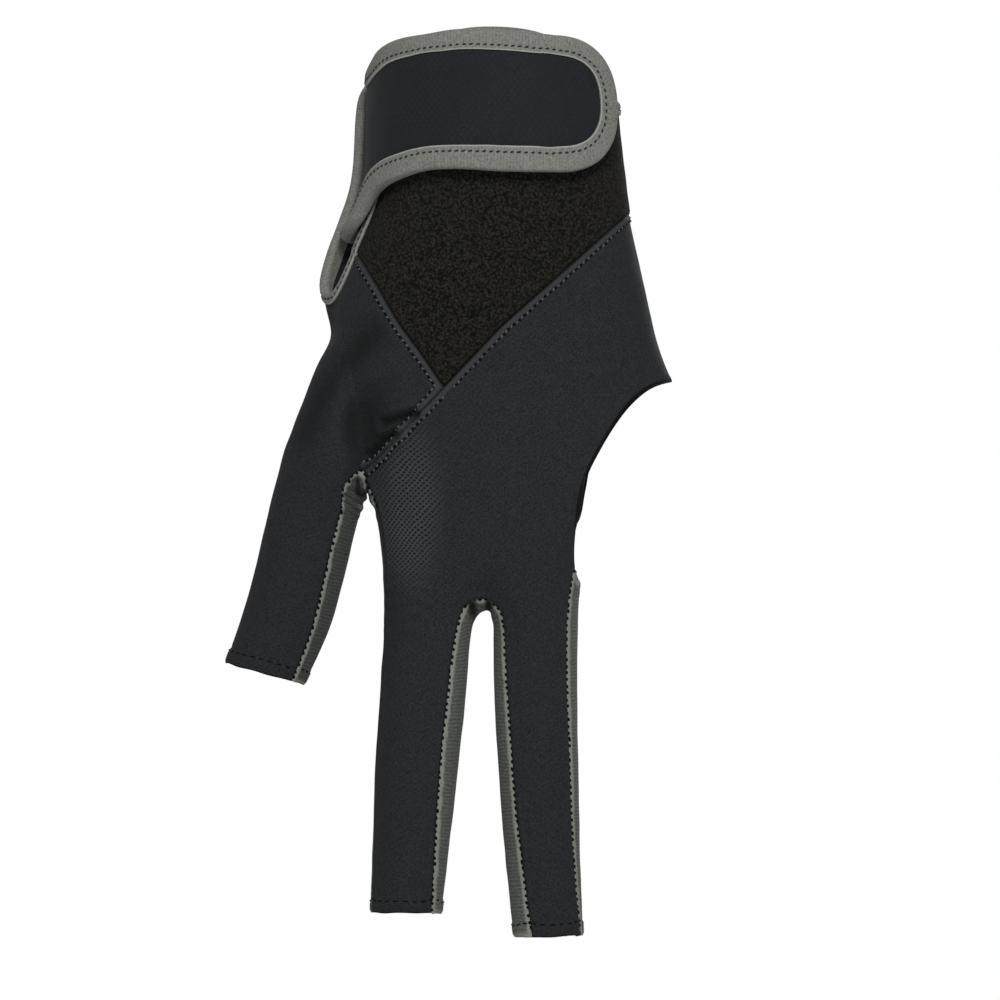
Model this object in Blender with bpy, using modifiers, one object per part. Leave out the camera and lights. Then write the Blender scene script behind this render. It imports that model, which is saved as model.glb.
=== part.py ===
"""Three-finger billiard glove for the left hand, in the shape that it has on a hand hanging down.

+Z runs up the forearm, -Y is the side that the back of the hand faces, and +X runs from the thumb
to the little finger. The origin is the middle of the wrist. Every size is in metres.

The cloth is one coarse cage of rings round the hand and its three fingers, smoothed by Subdivision
Surface, cut along the sewn seams, and given its thickness panel by panel.
"""

import math
from collections import namedtuple

import bmesh
import bpy
from mathutils import Vector
from mathutils.bvhtree import BVHTree

# Sizes over the cloth of the hand that the glove holds
WRIST_WIDTH = 0.0544
WRIST_DEPTH = 0.0410
PALM_WIDTH = 0.0776
PALM_DEPTH = 0.0290
HAND_LENGTH = 0.1318
RIM_HEIGHT = 0.0173
RIM_DIP = 0.0152
RIM_DIP_POWER = 2.5
RIM_SIDE_SLOPE = 0.0012
RIM_FRONT_SLOPE = 0.0016

INDEX_LENGTH = 0.0744
INDEX_WIDTH = 0.0198
INDEX_DEPTH = 0.0182
MIDDLE_LENGTH = 0.0771
MIDDLE_WIDTH = 0.0192
MIDDLE_DEPTH = 0.0182
THUMB_LENGTH = 0.0572
THUMB_WIDTH = 0.0205
THUMB_DEPTH = 0.0190
FINGER_POWER = 2.15
GUSSET_TURN = 76.0
WEB_RISE = 0.0034
FORK_DROP = 0.0022

# Sizes of the cloth, the strap and the binding tape
CLOTH = 0.0012
SEAM_GAP = 0.0003
SEAM_SNAP = 0.0004
STRAP_THICKNESS = 0.0019
STRAP_HEIGHT = 0.0308
STRAP_DROP = 0.0150
TAPE_THICKNESS = 0.0005
STRAP_TAPE_TOP_WIDTH = 0.0039
STRAP_TAPE_SIDE_WIDTH = 0.0052
RIM_TAPE_WIDTH = 0.0030
TAPE_CLEARANCE = 0.0003
FASTENING_PILE = 0.0007
FLAP_SLACK = 0.0006

# Smoothing shrinks a cage, so its rings are made larger by these factors
SUBDIVISIONS = 1
HAND_SWELL = 1.010
FINGER_SWELL = 1.045

# The tape is folded over an edge, so it stands this far off the cloth on either face. It narrows
# where its edge turns: by FAN_NARROWING where it fans out over the cloth, and to FOLD_SHARE of the
# turn's radius where it would fold up.
TAPE_STAND = TAPE_THICKNESS + TAPE_CLEARANCE
FAN_NARROWING = 3.0
FOLD_SHARE = 0.5
MITRE_LIMIT = 0.5

# The strap lies over the bound slit edge, tucks in towards the hand at its root, and the flap
# beside the slit lies over the strap
STRAP_LIFT = 2 * TAPE_STAND + FASTENING_PILE
TUCK_DEPTH = 0.0034
TUCK_START = -93.0
TUCK_END = -124.0
TUCK_AT_FLAP = 0.20
FLAP_LIFT = (
    STRAP_LIFT
    + STRAP_THICKNESS
    - TUCK_AT_FLAP * TUCK_DEPTH
    + 2 * TAPE_STAND
    + FLAP_SLACK
    + CLOTH
)

# Sections of the hand from the wrist rim down. along is a share of HAND_LENGTH, palm blends the
# width from the wrist to the palm, sway is the middle's shift as a share of PALM_WIDTH, front and
# back blend the two half depths from the wrist to the palm, and power squares the oval.
HandSection = namedtuple("HandSection", "along palm sway front back power")
HAND_SECTIONS = (
    HandSection(-0.10, -0.08, -0.011, 0.00, 0.00, 2.2),
    HandSection(0.00, -0.08, -0.011, 0.00, 0.00, 2.2),
    HandSection(0.13, -0.06, -0.009, 0.00, 0.00, 2.2),
    HandSection(0.24, 0.01, 0.002, 0.03, -0.05, 2.2),
    HandSection(0.30, 0.12, -0.003, 0.07, -0.08, 2.2),
    HandSection(0.36, 0.36, -0.021, 0.14, -0.12, 2.25),
    HandSection(0.43, 0.66, -0.034, 0.30, -0.15, 2.3),
    HandSection(0.50, 0.78, -0.022, 0.50, -0.15, 2.35),
    HandSection(0.60, 0.85, 0.020, 0.75, -0.08, 2.4),
    HandSection(0.71, 0.95, 0.060, 0.92, 0.15, 2.45),
    HandSection(0.81, 0.94, 0.105, 1.00, 0.54, 2.5),
    HandSection(0.92, 0.88, 0.133, 1.05, 0.85, 2.5),
    HandSection(1.05, 0.87, 0.138, 1.10, 1.00, 2.5),
)

# Rings of a finger from its root to its tip. along is a share of the finger's length, sway a
# sideways shift and width a share of its width, slant turns the ring so that its right end drops,
# depth is a share of its depth, set a shift towards the palm as a share of its depth, and the two
# seams are where the back panel ends, in degrees from the middle of the back.
Ring = namedtuple("Ring", "along sway width slant depth set left_seam right_seam")
INDEX_RINGS = (
    Ring(0.000, 0.000, 1.26, 34, 1.16, -0.13, -70, 50),
    Ring(0.115, 0.023, 0.99, 0, 1.05, -0.17, -84, 43),
    Ring(0.360, 0.016, 1.00, 0, 1.02, -0.19, -88, 36),
    Ring(0.630, 0.003, 0.94, 0, 0.98, -0.14, -88, 38),
    Ring(0.860, 0.000, 0.865, 0, 0.93, -0.04, -88, 45),
    Ring(1.000, 0.000, 0.815, 1, 0.89, 0.04, -88, 52),
)
MIDDLE_RINGS = (
    Ring(0.000, 0.030, 1.13, -26, 1.14, -0.13, -54, 52),
    Ring(0.096, -0.018, 1.00, -5, 1.05, -0.17, -49, 49),
    Ring(0.360, -0.043, 0.985, 0, 1.02, -0.19, -40, 51),
    Ring(0.630, -0.040, 0.915, 0, 0.98, -0.14, -40, 54),
    Ring(0.848, -0.028, 0.875, 0, 0.93, -0.04, -33, 60),
    Ring(1.000, 0.000, 0.815, -2, 0.89, 0.04, -30, 72),
)
THUMB_RINGS = (
    Ring(-0.039, 0.039, 1.87, 76, 1.44, 0.16, -58, 46),
    Ring(0.163, -0.040, 1.26, 53, 1.22, 0.24, -68, 38),
    Ring(0.343, -0.010, 1.06, 34, 1.06, 0.30, -74, 35),
    Ring(0.540, 0.034, 1.00, 22, 1.00, 0.36, -75, 36),
    Ring(0.780, 0.070, 0.97, 14, 0.96, 0.44, -75, 41),
    Ring(1.000, 0.000, 0.91, 16, 0.92, 0.50, -75, 48),
)

# A finger's root middle as shares of PALM_WIDTH and HAND_LENGTH, and its lean from straight down
Finger = namedtuple("Finger", "root_across root_along length width depth lean rings")
INDEX = Finger(-0.2225, 0.969, INDEX_LENGTH, INDEX_WIDTH, INDEX_DEPTH, -4.1, INDEX_RINGS)
MIDDLE = Finger(0.0915, 0.989, MIDDLE_LENGTH, MIDDLE_WIDTH, MIDDLE_DEPTH, 2.4, MIDDLE_RINGS)
THUMB = Finger(-0.4865, 0.702, THUMB_LENGTH, THUMB_WIDTH, THUMB_DEPTH, -17.8, THUMB_RINGS)

# Columns of the cage round the hand, clockwise from the slit on the thumb's side as seen from the
# fingertips. turn is where the column starts on the wrist rim, in degrees from the middle of the
# back. A column runs down to a finger's root ring, named by the finger and the ring's place, or to
# the side opening, whose edge is given by along and by reach, a share of the hand's half width.
# A reach on a column to a finger bends it sideways just above the finger's root.
Column = namedtuple("Column", "turn finger place along reach")
COLUMNS = (
    Column(-89, "index", 11, None, None),
    Column(-66, "index", 0, None, None),
    Column(-48, "index", 1, None, None),
    Column(-34, "index", 2, None, None),
    Column(-21, "index", 3, None, None),
    Column(-11, "web", 0, None, None),
    Column(-1, "middle", 0, None, None),
    Column(10, "middle", 1, None, None),
    Column(21, "middle", 2, None, None),
    Column(33, "middle", 3, None, -0.10),
    Column(46, None, None, 0.800, 0.22),
    Column(58, None, None, 0.723, 0.425),
    Column(71, None, None, 0.646, 0.65),
    Column(81, None, None, 0.602, 0.88),
    Column(90, None, None, 0.606, 1.04),
    Column(99, None, None, 0.608, 0.875),
    Column(109, None, None, 0.656, 0.64),
    Column(122, None, None, 0.735, 0.41),
    Column(136, None, None, 0.806, 0.225),
    Column(150, "middle", 6, None, -0.10),
    Column(161, "middle", 7, None, None),
    Column(172, "middle", 8, None, None),
    Column(183, "middle", 9, None, None),
    Column(192, "web", 3, None, None),
    Column(201, "index", 6, None, None),
    Column(212, "index", 7, None, None),
    Column(224, "index", 8, None, None),
    Column(240, "index", 9, None, None),
    Column(258, "index", 10, None, None),
)
THUMB_SIDE_BACK = 1
THUMB_SIDE_PALM = 27
FRONT_COLUMNS = 14
SIDEMOST_REACH = 0.995
ROW_SHARES = (0.0, 0.11, 0.22, 0.33, 0.44, 0.56, 0.69, 0.805, 0.91, 1.0)
FORK_COLUMNS = (0, THUMB_SIDE_PALM + 1)
SLIT_ROW = 4
FORK_ROW = 7

# A finger's ring has four sides, each between two seams: back, right, palm and left
SIDE_STEPS = 3
RING_PLACES = 4 * SIDE_STEPS
BACK_SIDE, RIGHT_SIDE, PALM_SIDE = range(3)

# The places on the index's and the middle's root rings that face each other, back to palm
FORK_PLACES = ((3, 0), (4, 11), (5, 10), (6, 9))

# How far the flap beside the slit stands off over the strap, as shares of FLAP_LIFT by column and
# by row
FLAP_COLUMNS = {28: 1.0, 27: 0.66, 26: 0.24}
FLAP_ROWS = (1.0, 1.0, 1.0, 1.0, 0.75)

# Seams across the back, in shares of PALM_WIDTH across and of HAND_LENGTH down
SeamPoint = namedtuple("SeamPoint", "across along")
LONG_SEAM = (
    SeamPoint(-0.414, 0.765),
    SeamPoint(-0.178, 0.616),
    SeamPoint(-0.006, 0.510),
    SeamPoint(0.370, 0.314),
)
SHORT_SEAM = (SeamPoint(-0.481, 0.340), SeamPoint(-0.309, 0.506), SeamPoint(-0.178, 0.616))
SHORT_SEAM_MARGIN = 0.062
FINGERS_ALONG = 0.8

# The strap from its rounded tip to its root under the flap. turn is measured as on the wrist, top
# is a share of STRAP_HEIGHT above the strap's straight lower edge, and drop a share of STRAP_DROP
# below it. stand is how much further the lower edge stands off the hand, as a share of STRAP_LIFT.
StrapStation = namedtuple("StrapStation", "turn top drop stand")
STRAP_TIP_TURN = 58.5
STRAP_TIP_STEPS = 5
STRAP_STEPS = 20
STRAP_STATIONS = (
    StrapStation(24, 0.97, 0.00, 0.0),
    StrapStation(0, 1.01, -0.01, 0.0),
    StrapStation(-18, 1.015, -0.05, 0.0),
    StrapStation(-34, 0.98, -0.03, 0.0),
    StrapStation(-47, 0.955, 0.06, 0.05),
    StrapStation(-58, 0.915, 0.16, 0.12),
    StrapStation(-66, 0.865, 0.26, 0.22),
    StrapStation(-73, 0.80, 0.43, 0.38),
    StrapStation(-82, 0.73, 0.78, 0.46),
    StrapStation(-96, 0.67, 1.00, 0.40),
    StrapStation(-113, 0.65, 1.02, 0.30),
    StrapStation(-124, 0.65, 1.02, 0.20),
)
STRAP_BASE = -0.0139
STRAP_CROSS_STEPS = 5
STRAP_TAPE_END = -96.0

# Colours of the cloth, linear
BLACK_KNIT = (0.012, 0.013, 0.014, 1.0)
BLACK_LOOP = (0.006, 0.006, 0.006, 1.0)
BLACK_STRAP = (0.008, 0.008, 0.009, 1.0)
GREY_KNIT = (0.115, 0.120, 0.112, 1.0)
GREY_TAPE = (0.140, 0.145, 0.135, 1.0)
FABRIC_ROUGHNESS = 0.9

COLLECTION = "billiard_glove"
PANELS = (
    "back_panel",
    "palm_panel",
    "thumb_index_gusset",
    "index_middle_gusset",
    "middle_outer_gusset",
    "thumb_panel",
)
BACK, PALM, THUMB_INDEX, INDEX_MIDDLE, MIDDLE_OUTER, THUMB_CLOTH = range(len(PANELS))
TAPED, BARE = range(2)


def blend(start, end, share):
    """The value at a share of the way from start to end."""
    return start + (end - start) * share


def smooth_step(share):
    """A share from 0 to 1, eased at both ends."""
    share = max(0.0, min(1.0, share))
    return share * share * (3 - 2 * share)


def table_value(rows, key, column, at):
    """A smooth curve through a table's column, read where its key column equals at."""
    places = [getattr(row, key) for row in rows]
    values = [getattr(row, column) for row in rows]
    if places[0] > places[-1]:
        places, values = places[::-1], values[::-1]
    if at <= places[0]:
        return values[0]
    if at >= places[-1]:
        return values[-1]
    last = max(i for i, place in enumerate(places[:-1]) if place <= at)
    slopes = []
    for i in (last, last + 1):
        low, high = max(i - 1, 0), min(i + 1, len(places) - 1)
        slopes.append((values[high] - values[low]) / (places[high] - places[low]))
    span = places[last + 1] - places[last]
    t = (at - places[last]) / span
    rise = values[last + 1] - values[last]
    bend = slopes[0] * span * t * (1 - t) ** 2 - slopes[1] * span * t * t * (1 - t)
    return values[last] + rise * smooth_step(t) + bend


def oval_point(turn, half_width, front, back, power):
    """A point (across, towards the palm) of a squared oval, turn degrees round from the back."""
    sine, cosine = math.sin(math.radians(turn)), math.cos(math.radians(turn))
    across = half_width * math.copysign(abs(sine) ** (2 / power), sine)
    depth = front if cosine > 0 else back
    return across, -depth * math.copysign(abs(cosine) ** (2 / power), cosine)


def hand_section(height):
    """The hand's middle across, half width, front and back half depth and power at a height."""
    along = (RIM_HEIGHT - height) / HAND_LENGTH
    palm, sway, front, back, power = (
        table_value(HAND_SECTIONS, "along", name, along) for name in HandSection._fields[1:]
    )
    return (
        sway * PALM_WIDTH,
        blend(WRIST_WIDTH, PALM_WIDTH, palm) / 2,
        blend(WRIST_DEPTH, PALM_DEPTH, front) / 2,
        blend(WRIST_DEPTH, PALM_DEPTH, back) / 2,
        power,
    )


def hand_point(turn, height, lift=0.0):
    """The point on the hand's surface at a turn and height, lifted outwards."""
    middle, half_width, front, back, power = hand_section(height)
    across, depth = oval_point(turn, half_width, front, back, power)
    outwards = hand_normal(turn, height)
    return Vector((middle + across, depth, height)) + outwards * lift


def hand_normal(turn, height):
    """The level direction square to the hand's surface at a turn and height."""
    _, half_width, front, back, power = hand_section(height)
    step = 0.5
    ahead = oval_point(turn + step, half_width, front, back, power)
    behind = oval_point(turn - step, half_width, front, back, power)
    return Vector((ahead[1] - behind[1], behind[0] - ahead[0], 0)).normalized()


def turn_across(reach, height, palm_side):
    """The turn at which the hand's surface reaches a share of its half width."""
    power = hand_section(height)[4]
    turn = math.degrees(math.asin(min(1.0, abs(reach)) ** (power / 2)))
    turn = math.copysign(turn, reach)
    return 180 - turn if palm_side else turn


def rim_height(turn):
    """The height of the wrist rim, which dips at the sides and is highest on the palm's side."""
    sine, cosine = math.sin(math.radians(turn)), math.cos(math.radians(turn))
    dip = RIM_DIP * abs(sine) ** RIM_DIP_POWER
    return RIM_HEIGHT - dip - RIM_SIDE_SLOPE * sine - RIM_FRONT_SLOPE * cosine


def finger_ring(finger, ring):
    """The points of a finger's ring, from the back's left corner round by the right."""
    lean, slant = math.radians(finger.lean), math.radians(ring.slant)
    down = Vector((math.sin(lean), 0, -math.cos(lean)))
    sideways = Vector((math.cos(lean), 0, math.sin(lean)))
    middle = Vector(
        (finger.root_across * PALM_WIDTH, 0, RIM_HEIGHT - finger.root_along * HAND_LENGTH)
    )
    middle += down * ring.along * finger.length + sideways * ring.sway * finger.width
    middle.y = ring.set * finger.depth
    across = Vector((math.cos(slant), 0, -math.sin(slant)))
    half_width = finger.width * ring.width / 2 * FINGER_SWELL
    half_depth = finger.depth * ring.depth / 2 * FINGER_SWELL
    corners = (
        ring.left_seam,
        ring.right_seam,
        ring.right_seam + GUSSET_TURN,
        ring.left_seam - GUSSET_TURN + 360,
        ring.left_seam + 360,
    )
    points = []
    for start, end in zip(corners, corners[1:]):
        for step in range(SIDE_STEPS):
            turn = blend(start, end, step / SIDE_STEPS)
            x, y = oval_point(turn, half_width, half_depth, half_depth, FINGER_POWER)
            points.append(middle + across * x + Vector((0, y, 0)))
    return points


def web_points(index_root, middle_root):
    """The 4 points of the fork between the fingers, from the back to the palm."""
    points = []
    for index_place, middle_place in FORK_PLACES:
        point = (index_root[index_place] + middle_root[middle_place]) / 2
        points.append(point + Vector((0, 0, WEB_RISE)))
    return points


def flap_lift(column, row):
    """How far a cage point beside the slit stands off the hand."""
    if row >= len(FLAP_ROWS):
        return 0.0
    return FLAP_LIFT * FLAP_COLUMNS.get(column, 0.0) * FLAP_ROWS[row]


def column_points(number, column, roots):
    """A column's cage points from the wrist rim down to its finger or to the side opening."""
    palm_side = 90 < column.turn < 270
    top = rim_height(column.turn)
    if column.finger:
        end = roots[column.finger][column.place]
        bottom = end.z
        middle, half_width = hand_section(bottom)[:2]
        reach = (end.x - middle) / half_width + (column.reach or 0.0)
        reach = max(-SIDEMOST_REACH, min(SIDEMOST_REACH, reach))
    else:
        end = None
        bottom = RIM_HEIGHT - column.along * HAND_LENGTH
        reach = column.reach
    last_turn = turn_across(reach, bottom, palm_side)
    first_turn = column.turn
    if first_turn > 180 and last_turn < 0:
        last_turn += 360
    points = []
    for row, share in enumerate(ROW_SHARES):
        height = blend(top, bottom, share)
        turn = blend(first_turn, last_turn, share if column.finger else share * share)
        lift = flap_lift(number, row)
        if row == len(ROW_SHARES) - 1:
            lift += max(0.0, reach - 1) * PALM_WIDTH / 2
        if row == FORK_ROW and number in FORK_COLUMNS:
            height -= FORK_DROP
        point = hand_point(turn, height, lift)
        middle = hand_section(height)[0]
        point.x = middle + (point.x - middle) * HAND_SWELL
        point.y *= HAND_SWELL
        points.append(point)
    if end is not None:
        points[-1] = end
    return points


def hand_panel(column, row):
    """The panel of the cage face right of a column and below a row, or None over a gap."""
    beside_thumb = column in (THUMB_SIDE_PALM, THUMB_SIDE_PALM + 1, 0)
    if beside_thumb and SLIT_ROW <= row < FORK_ROW:
        return None
    if beside_thumb and row >= FORK_ROW:
        return THUMB_INDEX
    if column == THUMB_SIDE_PALM + 1:
        return None
    return BACK if column < FRONT_COLUMNS else PALM


def finger_panel(name, place):
    """The panel of a finger's face after a ring place."""
    side = place // SIDE_STEPS
    if side == BACK_SIDE:
        return THUMB_CLOTH if name == "thumb" else BACK
    if side == PALM_SIDE:
        return PALM
    if name == "thumb":
        return THUMB_INDEX if side == RIGHT_SIDE else THUMB_CLOTH
    if name == "index":
        return INDEX_MIDDLE if side == RIGHT_SIDE else THUMB_INDEX
    return MIDDLE_OUTER if side == RIGHT_SIDE else INDEX_MIDDLE


def build_cage():
    """The cage of the whole glove, with each face's panel as its material index."""
    fingers = {"index": INDEX, "middle": MIDDLE, "thumb": THUMB}
    rings = {
        name: [finger_ring(finger, ring) for ring in finger.rings]
        for name, finger in fingers.items()
    }
    roots = {name: rings[name][0] for name in rings}
    roots["web"] = web_points(roots["index"], roots["middle"])

    cage = bmesh.new()
    root_verts = {name: [cage.verts.new(p) for p in roots[name]] for name in ("index", "middle")}
    root_verts["web"] = [cage.verts.new(p) for p in roots["web"]]
    hand = []
    for number, column in enumerate(COLUMNS):
        points = column_points(number, column, roots)
        last = root_verts[column.finger][column.place] if column.finger else None
        verts = [cage.verts.new(p) for p in (points[:-1] if last else points)]
        hand.append(verts + [last] if last else verts)

    def add_face(corners, panel):
        face = cage.faces.new(corners)
        face.material_index = panel
        face.smooth = True

    rows = len(ROW_SHARES) - 1
    for column in range(len(COLUMNS)):
        left, right = hand[column], hand[(column + 1) % len(COLUMNS)]
        for row in range(rows):
            panel = hand_panel(column, row)
            if panel is not None:
                add_face((left[row], left[row + 1], right[row + 1], right[row]), panel)

    thumb_root = [hand[THUMB_SIDE_BACK][row] for row in range(SLIT_ROW, FORK_ROW + 1)]
    thumb_root += [hand[0][FORK_ROW], hand[THUMB_SIDE_PALM + 1][FORK_ROW]]
    thumb_root += [hand[THUMB_SIDE_PALM][row] for row in range(FORK_ROW, SLIT_ROW - 1, -1)]
    thumb_root += [hand[THUMB_SIDE_PALM + 1][SLIT_ROW], hand[0][SLIT_ROW]]
    for name in fingers:
        upper = thumb_root if name == "thumb" else root_verts[name]
        for points in rings[name] if name == "thumb" else rings[name][1:]:
            lower = [cage.verts.new(p) for p in points]
            for place in range(RING_PLACES):
                after = (place + 1) % RING_PLACES
                corners = (upper[place], lower[place], lower[after], upper[after])
                add_face(corners, finger_panel(name, place))
            upper = lower

    web = root_verts["web"]
    index_side, middle_side = (
        [root_verts[name][pair[number]] for pair in FORK_PLACES]
        for number, name in enumerate(("index", "middle"))
    )
    for place in range(SIDE_STEPS):
        after = place + 1
        for left, right in ((index_side, web), (web, middle_side)):
            add_face((left[after], right[after], right[place], left[place]), INDEX_MIDDLE)
    return cage


def strap_spans():
    """The strap's turn, bottom and top heights, and its stand, from its rounded tip to its root."""
    first, last = STRAP_STATIONS[0], STRAP_STATIONS[-1]
    middle = STRAP_BASE + first.top * STRAP_HEIGHT / 2
    spans = []
    for step in range(1, STRAP_TIP_STEPS + 1):
        angle = math.radians(90 * step / (STRAP_TIP_STEPS + 1))
        turn = blend(first.turn, STRAP_TIP_TURN, math.cos(angle))
        half = math.sin(angle) * first.top * STRAP_HEIGHT / 2
        spans.append((turn, middle - half, middle + half, first.stand))
    for step in range(STRAP_STEPS + 1):
        turn = blend(first.turn, last.turn, step / STRAP_STEPS)
        drop = table_value(STRAP_STATIONS, "turn", "drop", turn) * STRAP_DROP
        top = table_value(STRAP_STATIONS, "turn", "top", turn) * STRAP_HEIGHT
        stand = table_value(STRAP_STATIONS, "turn", "stand", turn) * STRAP_LIFT
        spans.append((turn, STRAP_BASE - drop, STRAP_BASE + top, stand))
    return spans


def strap_surface():
    """The strap's outer face, lofted round the hand, as a bmesh."""
    surface = bmesh.new()
    before = None
    for turn, bottom, top, stand in strap_spans():
        tuck = smooth_step((turn - TUCK_START) / (TUCK_END - TUCK_START)) * TUCK_DEPTH
        lift = STRAP_LIFT + STRAP_THICKNESS - tuck
        verts = []
        for step in range(STRAP_CROSS_STEPS + 1):
            share = step / STRAP_CROSS_STEPS
            point = hand_point(turn, blend(bottom, top, share), lift + stand * (1 - share))
            verts.append(surface.verts.new(point))
        for i in range(STRAP_CROSS_STEPS if before else 0):
            face = surface.faces.new((before[i], before[i + 1], verts[i + 1], verts[i]))
            face.material_index = BARE if turn < STRAP_TAPE_END else TAPED
        before = verts
    surface.normal_update()
    surface.verts.index_update()
    surface.edges.index_update()
    return surface


def smoothed(cage):
    """The smooth surface of a cage, as a bmesh."""
    mesh = bpy.data.meshes.new("cage")
    cage.to_mesh(mesh)
    cage.free()
    for _ in PANELS:
        mesh.materials.append(None)
    holder = bpy.data.objects.new("cage", mesh)
    bpy.context.scene.collection.objects.link(holder)
    smoothing = holder.modifiers.new("smoothing", "SUBSURF")
    smoothing.levels = smoothing.render_levels = SUBDIVISIONS
    graph = bpy.context.evaluated_depsgraph_get()
    evaluated = holder.evaluated_get(graph)
    surface = bmesh.new()
    surface.from_mesh(evaluated.to_mesh())
    evaluated.to_mesh_clear()
    bpy.data.objects.remove(holder)
    bpy.data.meshes.remove(mesh)
    return surface


def seam_height(seam, x):
    """The height of a seam across the back at x, with its end pieces carried on straight."""
    points = [(p.across * PALM_WIDTH, RIM_HEIGHT - p.along * HAND_LENGTH) for p in seam]
    for (x0, z0), (x1, z1) in zip(points, points[1:]):
        if x <= x1 or (x1, z1) == points[-1]:
            return blend(z0, z1, (x - x0) / (x1 - x0))
    raise ValueError("a seam needs two points")


def cut_cloth(faces, field):
    """Splits faces where field changes sign, so that a seam runs along edges."""
    verts = {v for f in faces for v in f.verts}
    value = {}
    for vert in verts:
        found = field(vert.co)
        value[vert] = 0.0 if abs(found) < SEAM_SNAP else found
    edges = {e for f in faces for e in f.edges}
    for edge in edges:
        a, b = edge.verts
        if value[a] * value[b] < 0:
            share = value[a] / (value[a] - value[b])
            _, made = bmesh.utils.edge_split(edge, a, share)
            value[made] = 0.0
    for face in list(faces):
        crossing = [v for v in face.verts if value.get(v) == 0.0]
        sides = {math.copysign(1, value[v]) for v in face.verts if value[v] != 0.0}
        if len(crossing) == 2 and len(sides) == 2:
            bmesh.utils.face_split(face, crossing[0], crossing[1])


def face_side(face, field):
    """Which side of a field a face lies on, by its corner furthest from zero."""
    return max((field(v.co) for v in face.verts), key=abs)


def split_back(cloth):
    """Cuts the back along its seams and returns each face's panel name."""

    def above_long(point):
        return point.z - seam_height(LONG_SEAM, point.x)

    def above_short(point):
        return point.z - seam_height(SHORT_SEAM, point.x)

    back = [f for f in cloth.faces if f.material_index == BACK]
    cut_cloth(back, above_long)
    back = [f for f in cloth.faces if f.material_index == BACK]
    upper = [f for f in back if face_side(f, above_long) > 0]
    seam_end = SHORT_SEAM[-1].across * PALM_WIDTH
    last_x = seam_end + SHORT_SEAM_MARGIN * PALM_WIDTH
    cut_cloth([f for f in upper if f.calc_center_median().x < last_x], above_short)
    fingers_height = RIM_HEIGHT - HAND_LENGTH * FINGERS_ALONG
    names = {}
    for face in cloth.faces:
        panel = face.material_index
        middle = face.calc_center_median()
        if panel != BACK or face_side(face, above_long) < 0 or middle.z < fingers_height:
            names[face] = PANELS[panel]
        elif middle.x < seam_end and face_side(face, above_short) < 0:
            names[face] = PANELS[THUMB_CLOTH]
        else:
            names[face] = "loop_patch"
    return names


def make_object(name, mesh, colour):
    """A part object in the glove's collection with its own cloth material."""
    material = bpy.data.materials.new(name + "_cloth")
    material.use_nodes = True
    shader = material.node_tree.nodes["Principled BSDF"]
    shader.inputs["Base Color"].default_value = colour
    shader.inputs["Roughness"].default_value = FABRIC_ROUGHNESS
    shader.inputs["Metallic"].default_value = 0.0
    mesh.materials.clear()
    mesh.materials.append(material)
    made = bpy.data.objects.new(name, mesh)
    bpy.data.collections[COLLECTION].objects.link(made)
    return made


def border_of(faces):
    """Pairs of an edge and its face, where a neighbour isn't among the faces."""
    chosen = set(faces)
    return [(e, f) for f in faces for e in f.edges if not set(e.link_faces) - {f} & chosen]


def inwards_from(edge, face):
    """The direction from an edge into its face, square to the edge."""
    along = (edge.verts[1].co - edge.verts[0].co).normalized()
    inwards = face.calc_center_median() - (edge.verts[0].co + edge.verts[1].co) / 2
    return (inwards - along * inwards.dot(along)).normalized()


def seam_shifts(border):
    """How each vertex on a seam moves into its panel to leave half a gap there."""
    found = {}
    for edge, face in border:
        if len(edge.link_faces) == 2:
            for vert in edge.verts:
                found.setdefault(vert, []).append(inwards_from(edge, face))
    shifts = {}
    for vert, directions in found.items():
        mean = sum(directions, Vector()) / len(directions)
        shifts[vert] = mean / max(MITRE_LIMIT, mean.length_squared) * SEAM_GAP / 2
    return shifts


def cloth_solid(name, faces, thickness, colour):
    """A closed solid from outer faces, thickened inwards and moved back from its seams."""
    border = border_of(faces)
    shifts = seam_shifts(border)
    solid = bmesh.new()
    outer, inner = {}, {}
    for vert in {v for f in faces for v in f.verts}:
        place = vert.co + shifts.get(vert, Vector())
        outer[vert] = solid.verts.new(place)
        inner[vert] = solid.verts.new(place - vert.normal * thickness)
    for face in faces:
        solid.faces.new([outer[v] for v in face.verts])
        solid.faces.new([inner[v] for v in reversed(face.verts)])
    for edge, face in border:
        loop = next(x for x in face.loops if x.edge is edge)
        first, second = loop.vert, loop.link_loop_next.vert
        wall = (outer[second], outer[first], inner[first], inner[second])
        turned = first.index < second.index
        solid.faces.new((wall[0], wall[1], wall[2]) if turned else (wall[1], wall[2], wall[3]))
        solid.faces.new((wall[0], wall[2], wall[3]) if turned else (wall[0], wall[1], wall[3]))
    mesh = bpy.data.meshes.new(name)
    solid.to_mesh(mesh)
    solid.free()
    return make_object(name, mesh, colour)


def border_paths(edges):
    """Each run among some open edges as a list of vertices, and whether it closes."""
    edges = set(edges)
    paths = []
    while edges:
        degree = {}
        for edge in edges:
            for vert in edge.verts:
                degree.setdefault(vert, []).append(edge)
        ends = [v for v, found in degree.items() if len(found) == 1]
        vert = min(ends or degree, key=lambda v: v.index)
        path = [vert]
        while True:
            following = [e for e in degree[vert] if e in edges]
            if not following:
                break
            edge = min(following, key=lambda e: e.index)
            edges.discard(edge)
            vert = edge.other_vert(vert)
            path.append(vert)
        closed = path[0] is path[-1]
        paths.append((path[:-1] if closed else path, closed))
    return paths


def open_edges(surface, bare=None):
    """The open edges of a surface, without those of faces whose material index is bare."""
    edges = [e for e in surface.edges if len(e.link_faces) == 1]
    return [e for e in edges if e.link_faces[0].material_index != bare]


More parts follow.
